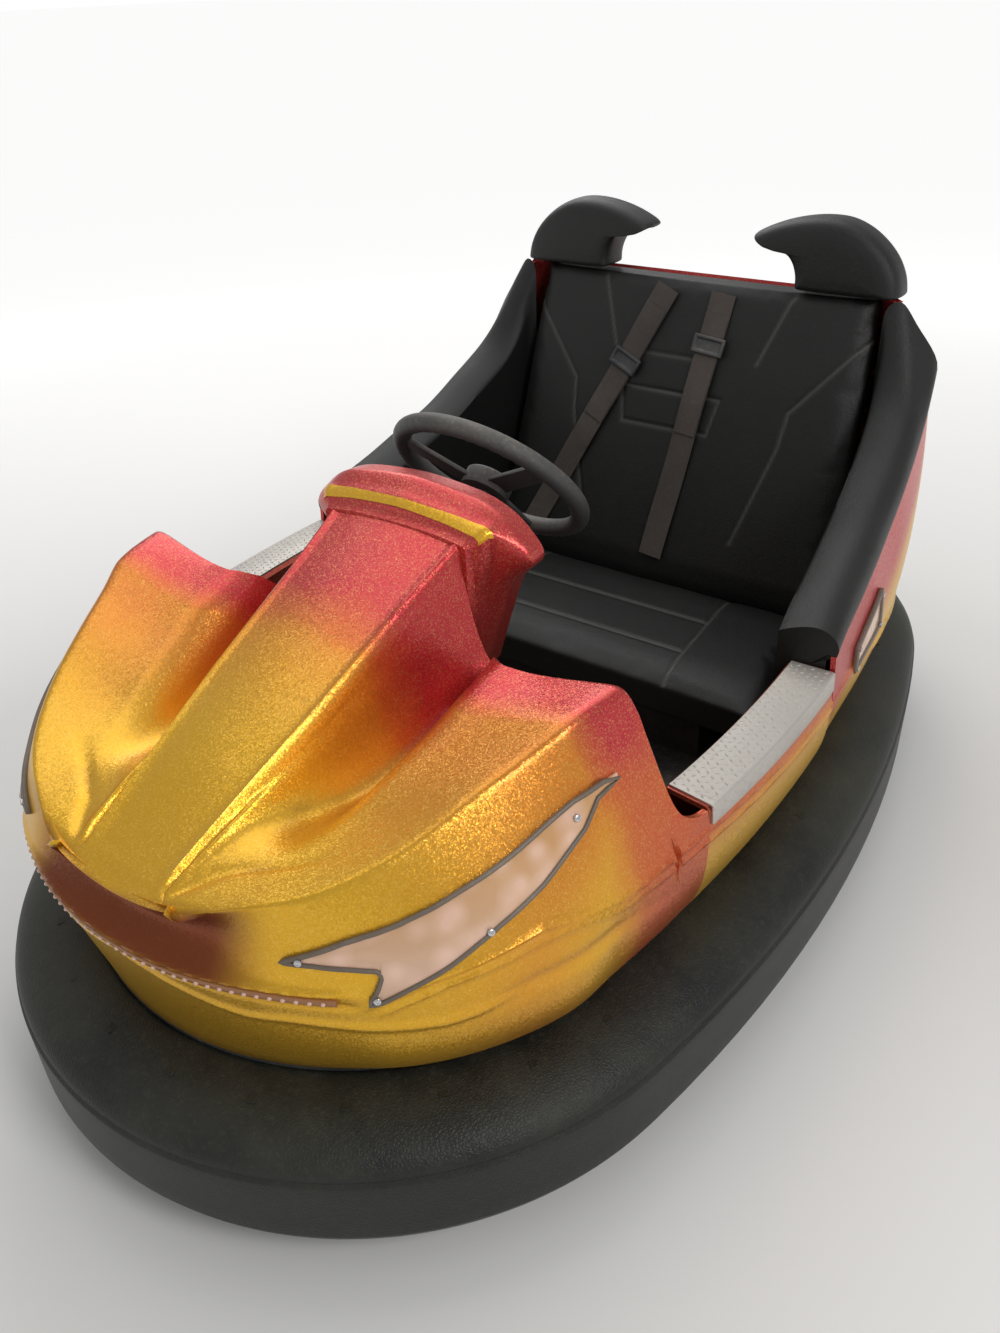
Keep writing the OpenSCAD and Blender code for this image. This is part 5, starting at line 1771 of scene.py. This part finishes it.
@dataclass
class Seat:
    """Cushion, back, side pads and fin headrests in black leatherette."""

    cowls: Cowls
    cushion_top: float = 0.335
    cushion_t: float = 0.089
    cushion_front: float = 0.040
    back_foot: float = 0.400
    back_top_y: float = 0.560
    back_h: float = 0.858
    back_t: float = 0.060
    lean: float = 0.44
    roll: float = 0.058
    thick: float = 0.090
    groove_deep: float = 0.003
    groove_w: float = 0.0036
    voxel: float = 0.008
    pressure: float = 3.0
    rises: Pairs = ((91.7, .040), (95, .050), (99, .051), (101, .054), (103, .063),
                                              (104, .086), (105.43, .154))
    fin: Pairs = (
        (.374, 0), (.368, .030), (.352, .060), (.327, .086), (.295, .107), (.258, .119), (.21, .119),
        (.16, .109), (.118, .093), (.102, .082), (.108, .076), (.135, .075), (.160, .066), (.177, .048),
        (.186, .024), (.187, 0))
    fin_mid: float = 0.25
    grooves: tuple[Pairs, ...] = (
        ((.36, .50), (.225, .335), (.218, .27), (.165, .08)), ((.19, .53), (.147, .41)),
        ((-.085, .402), (.035, .402)), ((-.118, .335), (.088, .335)), ((-.107, .268), (.075, .268)),
        ((-.118, .335), (-.107, .268)), ((.088, .335), (.075, .268)))

    def rise(self, t: float) -> float:
        """How far the pad rises above the shell's edge."""
        return curve(self.rises, t, 1)

    def pad_in(self, t: float) -> float:
        """How far in the pad reaches from the shell's edge."""
        return max(self.thick, self.roll + .9 * self.lean * (self.rise(t) - self.roll))

    def half(self, y: float) -> float:
        """Half the room between the pads at a place along the car."""
        c = self.cowls
        t = min(c.outline.side_angle(y, -.15), c.pad_end)
        return c.outline.at(t, c.form(t, 1) - self.pad_in(t) - .008)[0]

    def face(self, x: float, s: float, out: float = 0.0) -> Vector:
        """A point of the seat back's face: across, up along it, and out of it."""
        slope = atan2(self.back_top_y - self.back_foot, self.back_h - self.cushion_top)
        return Vector((x, self.back_foot + s * sin(slope) - out * cos(slope),
                       self.cushion_top + s * cos(slope) + out * sin(slope)))

    def build(self, maker: Maker) -> None:
        """Builds all the seat's pieces."""
        self.cushion(maker)
        self.back(maker)
        for side in Side:
            self.bolster(maker, side)
            self.headrest(maker, side)

    def engrave(self, obj: Piece, lines: Sequence[Sequence[Vector]], way: Vector) -> None:
        """Presses grooves into a piece along lines and marks them as a zone.

        Args:
            obj: the piece.
            lines: polylines near its surface.
            way: the way in which the surface is pressed.
        """
        count = len(obj.data.vertices)
        spots, normals = np.empty(count * 3), np.empty(count * 3)
        obj.data.vertices.foreach_get("co", spots)
        obj.data.vertices.foreach_get("normal", normals)
        spots, normals, press = spots.reshape(-1, 3), normals.reshape(-1, 3), np.array(way)
        best = np.ones(count)
        for start, end in (pair for line in lines for pair in zip(line, line[1:])):
            run, away = np.array(end - start), spots - np.array(start)
            flat_run, flat_away = run - press * run.dot(press), away - np.outer(away @ press, press)
            share = np.clip(flat_away @ flat_run / max(flat_run.dot(flat_run), 1e-9), 0, 1)
            gap = np.linalg.norm(flat_away - np.outer(share, flat_run), axis=1)
            near = np.abs((away - np.outer(share, run)) @ press) < .05
            best = np.where(near, np.minimum(best, gap), best)
        marks = np.exp(-(best / self.groove_w) ** 2) * (normals @ press < -.2)
        obj.data.vertices.foreach_set("co", (spots + np.outer(marks * self.groove_deep, press)).ravel())
        obj.data.update()
        layer = obj.data.color_attributes.new(ZONE, "FLOAT_COLOR", "POINT")
        zones = np.zeros((count, 4))
        zones[:, 0], zones[:, 3] = marks ** 2, 1
        layer.data.foreach_set("color", zones.ravel())

    def cushion(self, maker: Maker) -> None:
        """The seat cushion: blown up a little and pressed flat by its grooves."""
        front, back = self.cushion_front + .006, self.back_foot - .004
        low = self.cushion_top - self.cushion_t
        rings = []
        for k in range(17):
            y = front + (back - front) * k / 16
            to_end = min(k, 16 - k)
            round_off = 1 - sin(pi * (to_end + .6) / 10) if to_end < 4 else 0.0
            half = self.half(min(max(y, self.cushion_front), self.back_foot)) - .008
            high = self.cushion_top - .012 - .018 * round_off
            mid, thick = (low + .004 + high) / 2, (high - low - .004) / 2
            rings.append([(x, y, mid + z) for x, z in rounded_box(48, half, thick, .28, .35)])
        obj = loft("seat_cushion", rings)
        swell_cloth(obj, self.voxel, self.pressure, .009)
        for v in obj.data.vertices:
            v.co.z = max(v.co.z, low)
            v.co.y = min(max(v.co.y, self.cushion_front), self.back_foot - .0005)
        modifier(obj, "SUBSURF", levels=1, render_levels=1)
        z = self.cushion_top
        lines = [[Vector((s * .22, .06, z)), Vector((s * .20, .39, z))] for s in (-1, 1)]
        lines += [[Vector((-.21, y, z)), Vector((.21, y, z))] for y in (.14, .25)]
        self.engrave(obj, lines, Vector((0, 0, -1)))
        maker.done(obj, maker.finishes.leather, "seat_pad", "seat_base", sharp=60)

    def back(self, maker: Maker) -> None:
        """The seat back, leaning, its face engraved."""
        low = self.cushion_top - self.cushion_t
        rings = []
        n = 18
        for k in range(n + 1):
            z = low + .002 + (self.back_h - .004 - low) * k / n
            up = max(0.0, (z - self.cushion_top) / (self.back_h - self.cushion_top))
            y = self.back_foot + up * (self.back_top_y - self.back_foot)
            half = self.half(min(y, self.back_top_y)) - .006
            mid, thick = y + self.back_t / 2 + .001, self.back_t / 2 - .006
            rings.append([(x, mid + d, z) for x, d in rounded_box(64, half, thick, .18, .4)])
        obj = loft("seat_back_pad", rings)
        swell_cloth(obj, self.voxel, self.pressure, .008)
        modifier(obj, "SUBSURF", levels=1, render_levels=1)
        way = (self.face(0, .2, -.01) - self.face(0, .2)).normalized()
        lines = []
        for groove in self.grooves:
            lines.append([self.face(x, s) for x, s in groove])
            if len(groove) > 2 or groove[0][0] > .15:
                lines.append([self.face(-x, s) for x, s in groove])
        self.engrave(obj, lines, way)
        maker.done(obj, maker.finishes.leather, "seat_pad", "seat_back", sharp=60)

    def bolster(self, maker: Maker, side: Side) -> None:
        """A thick rolled side pad along the shell's edge."""
        c = self.cowls
        rings = []
        n = 44
        for k in range(n + 1):
            t = c.door_rear_deg + (c.pad_end - c.door_rear_deg) * k / n
            z, r = c.form(t, 2), self.rise(t)
            pin = self.pad_in(t)
            lean = self.lean * max(0, r - self.roll)
            soft = [(.001, .001), (.002, .38 * r), (-.007 - lean * .76, .76 * r), (-.028 - lean, r),
                    (-.056 - lean * .9, .9 * r), (-pin, .5 * r), (-pin, .1 * r)]
            hard = [(-pin, .5 * r), (-pin, .1 * r), (-pin, .30 - z), (-.045, .30 - z), (-.014, -.04),
                    (-.014, .0008), (.001, .001)]
            line = spline(soft, 5)[:25]
            line += [tuple(a + (b - a) * (s / 5) for a, b in zip(p, q)) for p, q in zip(hard, hard[1:])
                     for s in range(5)]
            ring = []
            for out, up in line:
                x, y = c.outline.at(t * side.value, c.form(t, 1) + out)
                ring.append((x, y, min(z + up, self.back_h)))
            rings.append(ring)
        obj = loft("bolster_" + side.word, rings)
        tint(obj, lambda p: (0, 0, 0))
        maker.done(obj, maker.finishes.leather, "seat_pad", "seat_bolster_" + side.word, sharp=50)

    def headrest(self, maker: Maker, side: Side) -> None:
        """A fin that curls inwards, its faces pillowed."""
        outline = spline(self.fin, 4) + [(self.fin_mid, 0), (.31, 0)]
        half = (self.back_t + .020) / 2
        rings = []
        for k in range(15):
            s = -1 + 2 * k / 14
            size = .80 + .20 * (1 - abs(s) ** 3.2) ** .5
            y = self.back_top_y + self.back_t + (s - 1) * half
            rings.append([((self.fin_mid + (x - self.fin_mid) * size) * side.value, y,
                           self.back_h + .0003 + z * size) for x, z in outline])
        obj = loft("headrest_pad_" + side.word, rings)
        modifier(obj, "SUBSURF", levels=1, render_levels=1)
        tint(obj, lambda p: (0, 0, 0))
        maker.done(obj, maker.finishes.leather, "seat_pad", "headrest_" + side.word, sharp=70)


@dataclass
class Belt:
    """A flat strap over the seat back, with its adjuster."""

    seat: Seat
    side: Side
    head: float
    foot: float
    slider: int
    width: float = 0.048
    thick: float = 0.0022
    start: float = 0.018
    run: float = 0.505
    lean_over: float = 0.545

    def build(self, maker: Maker) -> None:
        """Models the strap, its doubled end and the adjuster."""
        path, outs = [], []
        n = 70
        normal = (self.seat.face(0, .2, .01) - self.seat.face(0, .2)).normalized()
        for k in range(n + 1):
            s = self.start + self.run * k / n
            share = s / self.lean_over
            x = self.foot + (self.head - self.foot) * share
            lift = .005 + .004 * sin(6 * share + self.side.value) ** 2
            path.append(self.seat.face(x, s, lift))
            outs.append((normal + Vector((.05 * sin(9 * share), 0, 0))).normalized())
        strap = sweep("belt_strap_" + self.side.word, path, outs, pillow(self.width, self.thick, .001, 2))
        maker.done(strap, maker.finishes.web, "belt_web", "belt_" + self.side.word, sharp=30)
        folded = slice(34, 66)
        hem = [p + o * .003 for p, o in zip(path[folded], outs[folded])]
        double = sweep("belt_fold_" + self.side.word, hem, outs[folded],
                       pillow(self.width * .96, self.thick, .001, 2))
        maker.done(double, maker.finishes.web, "belt_web", sharp=30)
        buckle = block("belt_adjuster_" + self.side.word, (.062, .034, .008))
        shape_faces(buckle, facing_up, inset(.006), inset(.001, -.004))
        modifier(buckle, "BEVEL", width=.0022, segments=3, limit_method="ANGLE")
        k = self.slider
        along = (path[k + 1] - path[k]).normalized()
        out = outs[k]
        across = along.cross(out).normalized()
        turn = Matrix((across, along, out)).transposed().to_4x4()
        place = Matrix.Translation(path[k] + out * .0055) @ turn
        maker.done(settle(buckle, place), maker.finishes.steel, "belt_web")


@dataclass
class Wheels:
    """Drive wheel and rear wheels with their rubber, drive unit and brackets."""

    drive_fore: float = 0.500
    drive_r: float = 0.100
    drive_w: float = 0.060
    drive_hub: float = 0.070
    rear_aft: float = 0.520
    rear_x: float = 0.300
    rear_r: float = 0.060
    rear_w: float = 0.040

    def tyre(self, name: str, inner: float, outer: float, width: float) -> Piece:
        """A solid tyre with rounded shoulders and tread grooves."""
        half = width / 2
        shoulder = [(inner, half), (outer - .008, half), (outer - .003, half - .002), (outer, half - .007)]
        line = [(r, -x) for r, x in shoulder]
        for g in (-.25, 0, .25):
            x = g * width
            line += [(outer, x - .003), (outer - .003, x - .002), (outer - .003, x + .002), (outer, x + .003)]
        line += shoulder[::-1]
        n = 96

        def at(i: int, j: int) -> Point:
            r, x = line[i]
            a = 2 * pi * j / n
            return x, r * cos(a), r * sin(a)

        obj = sheet_of(name, len(line), n + 1, at, wrap=True)
        edit(obj, merge(), face_out)
        return obj

    def build(self, maker: Maker) -> None:
        """Models the tyres and dresses the metal."""
        f = maker.finishes
        tyre = self.tyre("drive_tread", self.drive_hub, self.drive_r, self.drive_w)
        place = Matrix.Translation((0, -self.drive_fore, self.drive_r))
        maker.done(settle(tyre, place), f.tread, "wheel_rubber", "drive_tyre", body="drive_wheel", sharp=35)
        for side in Side:
            tyre = self.tyre("rear_tread_" + side.word, self.rear_r - .015, self.rear_r, self.rear_w)
            place = Matrix.Translation((side.value * self.rear_x, self.rear_aft, self.rear_r))
            maker.done(settle(tyre, place), f.tread, "wheel_rubber", "rear_tyre_" + side.word,
                       body="rear_wheel_" + side.word, sharp=35)
        self.motor(maker)
        maker.dress(f.wheel, "drive_wheel", "rear_wheel_left", "rear_wheel_right", "rear_bracket_left",
                    "rear_bracket_right")
        maker.dress(f.steel, "drive_fork", "drive_turret")

    def motor(self, maker: Maker) -> None:
        """The drive motor with its cooling fins."""
        inner_x = self.drive_w / 2 + .010 + .008 + .0003
        length = .088
        body = primitive(bpy.ops.mesh.primitive_cylinder_add, "motor_case", vertices=64, radius=.062,
                         depth=length)
        edit(body, face_out)
        shape_faces(body, facing_up, inset(.010),
                    lambda: bpy.ops.mesh.extrude_region_move(TRANSFORM_OT_translate={"value": (0, 0, .014)}),
                    inset(.012), inset(.003, -.003))
        turns = itertools.cycle((False, True))

        def every_other(c: Vector, n: Vector) -> bool:
            return abs(n.z) < .1 and hypot(c.x, c.y) > .05 and next(turns)

        shape_faces(body, every_other, inset(.0006, -.004, True))
        place = (Matrix.Translation((inner_x + length / 2, -self.drive_fore, self.drive_r))
                 @ turn_about("Y", 90))
        maker.done(settle(body, place), maker.finishes.motor, "motor_paint", "drive_motor", body="drive_unit",
                   sharp=30)


@dataclass
class Cockpit:
    """Floor, pedal and battery box."""

    pedal: Point = (-0.110, -0.255, 0.1406)

    def build(self, maker: Maker) -> None:
        """Dresses the floor and box, and models the pedal."""
        f = maker.finishes
        maker.dress(f.steel, "chassis_pan", "chassis_rails")
        maker.dress(f.plastic, "cockpit_floor", "battery_box")
        x, y, z = self.pedal
        foot = block("pedal_dressed", (.080, .120, .004), (x, y + .060, z + .002))
        pad = block("pedal_pad", (.080, .110, .005), (0, .055, .0025))
        edit(pad, lambda: bpy.ops.mesh.subdivide(number_cuts=7))
        step = .11 / 8
        shape_faces(pad, lambda c, n: n.z > .9 and int((c.y + 1e-4) / step) % 2 == 0, inset(.0012, .0022))
        place = Matrix.Translation((x, y, z + .003)) @ turn_about("X", 28)
        whole = join([foot, settle(pad, place)])
        modifier(whole, "BEVEL", width=.0005, segments=1, limit_method="ANGLE")
        maker.done(whole, f.wheel, "wheel_metal", "pedal")


@dataclass
class Studio:
    """Floor, light and the camera at the photograph's angle."""

    yaw: float = 36.22
    pitch: float = 32.74
    roll: float = -2.32
    place: Point = (0.895, -1.333, 1.339)
    focal: float = 1072.75
    photo_h: float = 1333
    sensor: float = 36.0

    def build(self) -> None:
        """Sets the whole stage."""
        self.camera()
        self.floor()
        self.world()
        self.lamp("overhead", (-0.6, 0.5, 3.0), (3.0, 2.2), 28)
        self.lamp("key", (2.3, -1.0, 2.3), (0.9, 0.9), 30)
        self.lamp("rim", (-1.8, 1.8, 2.4), (2.0, 1.5), 24)
        bpy.context.scene.view_settings.view_transform = "Standard"

    def camera(self) -> None:
        """The camera, solved from the bumper's outline in the photograph."""
        yaw, pitch, roll = (radians(v) for v in (self.yaw, self.pitch, self.roll))
        ahead = Vector((-sin(yaw) * cos(pitch), cos(yaw) * cos(pitch), -sin(pitch)))
        right = Vector((cos(yaw), sin(yaw), 0.0))
        up = right.cross(ahead)
        rolled = (cos(roll) * right + sin(roll) * up, cos(roll) * up - sin(roll) * right)
        data = bpy.data.cameras.new("view")
        data.sensor_fit = "AUTO"
        data.sensor_width = self.sensor
        data.lens = self.focal * self.sensor / self.photo_h
        data.clip_start = 0.05
        cam = bpy.data.objects.new("view", data)
        turn = Matrix((*rolled, -ahead)).transposed().to_4x4()
        cam.matrix_world = Matrix.Translation(self.place) @ turn
        bpy.context.scene.collection.objects.link(cam)
        bpy.context.scene.camera = cam

    def floor(self) -> None:
        """A wide pale floor."""
        obj = primitive(bpy.ops.mesh.primitive_plane_add, "floor", size=240, location=(0, 0, 0))
        mat = bpy.data.materials.new("Studio floor")
        mat.use_nodes = True
        shader = next(n for n in mat.node_tree.nodes if n.type == "BSDF_PRINCIPLED")
        shader.inputs["Base Color"].default_value = (0.80, 0.79, 0.77, 1)
        shader.inputs["Roughness"].default_value = 0.8
        g = Graph(mat.node_tree)
        away = g.add("ShaderNodeVectorMath", {0: g.place()}, operation="LENGTH").outputs["Value"]
        g.feed(g.mix(g.ramp(away, 1.2, 4.0), (0, 0, 0, 1), (.60, .60, .60, 1)), shader, "Emission Color")
        shader.inputs["Emission Strength"].default_value = 1.0
        under = g.add("ShaderNodeNewGeometry").outputs["Backfacing"]
        clear = g.add("ShaderNodeBsdfTransparent").outputs[0]
        both = g.add("ShaderNodeMixShader", {0: under, 1: shader.outputs[0], 2: clear}).outputs[0]
        g.feed(both, next(n for n in g.tree.nodes if n.type == "OUTPUT_MATERIAL"), "Surface")
        obj.data.materials.append(mat)
        obj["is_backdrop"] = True

    def world(self) -> None:
        """Soft light from all round, and a white background for the eye."""
        world = bpy.data.worlds.new("Studio")
        bpy.context.scene.world = world
        world.use_nodes = True
        g = Graph(world.node_tree)
        g.tree.nodes.clear()
        path = g.add("ShaderNodeLightPath")
        seen = g.math("MAXIMUM", path.outputs["Is Camera Ray"], path.outputs["Is Transmission Ray"])
        light, white, shine = (
            g.add("ShaderNodeBackground", {"Color": (*colour, 1), "Strength": strength}).outputs[0]
            for colour, strength in (((.97, .98, 1), .45), ((1, 1, 1), 1), ((1, 1, 1), .5)))
        glossy = path.outputs["Is Glossy Ray"]
        unseen = g.add("ShaderNodeMixShader", {0: glossy, 1: light, 2: shine}).outputs[0]
        mixed = g.add("ShaderNodeMixShader", {0: seen, 1: unseen, 2: white}).outputs[0]
        g.add("ShaderNodeOutputWorld", {"Surface": mixed})

    def lamp(self, name: str, place: Point, size: tuple[float, float], power: float) -> None:
        """A soft lamp that looks at the car.

        Args:
            name: the lamp's name.
            place: where it hangs.
            size: its two sides.
            power: in watts.
        """
        data = bpy.data.lights.new(name, "AREA")
        data.shape = "RECTANGLE"
        data.size, data.size_y = size
        data.energy = power
        obj = bpy.data.objects.new(name, data)
        aim = Vector((0, 0, .3)) - Vector(place)
        turn = aim.to_track_quat("-Z", "Y").to_matrix().to_4x4()
        obj.matrix_world = Matrix.Translation(place) @ turn
        bpy.context.scene.collection.objects.link(obj)


def write_sizes() -> None:
    boxes = {"cad": CAD_BOX, "visual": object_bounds()}
    boxes = {name: [list(corner) for corner in box] for name, box in boxes.items()}


def main() -> None:
    """Builds the stage and every sub-assembly."""
    logging.basicConfig(level=logging.INFO, format="%(relativeCreated)6d ms  %(message)s")
    Studio().build()
    maker = Maker(Finishes())
    outline = Outline()
    cowls = Cowls(outline)
    Bumper(outline).build(maker)
    FrontCowl(cowls).build(maker)
    NoseStrip(cowls).build(maker)
    RearCowl(cowls).build(maker)
    Dash().build(maker)
    for side in Side:
        Headlamp(cowls, side).build(maker)
        SideLamp(cowls, side).build(maker)
        Sill(cowls, side).build(maker)
    SteeringGear().build(maker)
    seat = Seat(cowls)
    seat.build(maker)
    Belt(seat, Side.LEFT, .062, .007, 57).build(maker)
    Belt(seat, Side.RIGHT, -.042, -.285, 50).build(maker)
    Wheels().build(maker)
    Cockpit().build(maker)
    LOG.info("%d pieces dressed", maker.count)
    write_sizes()


if __name__ == "__main__":
    main()
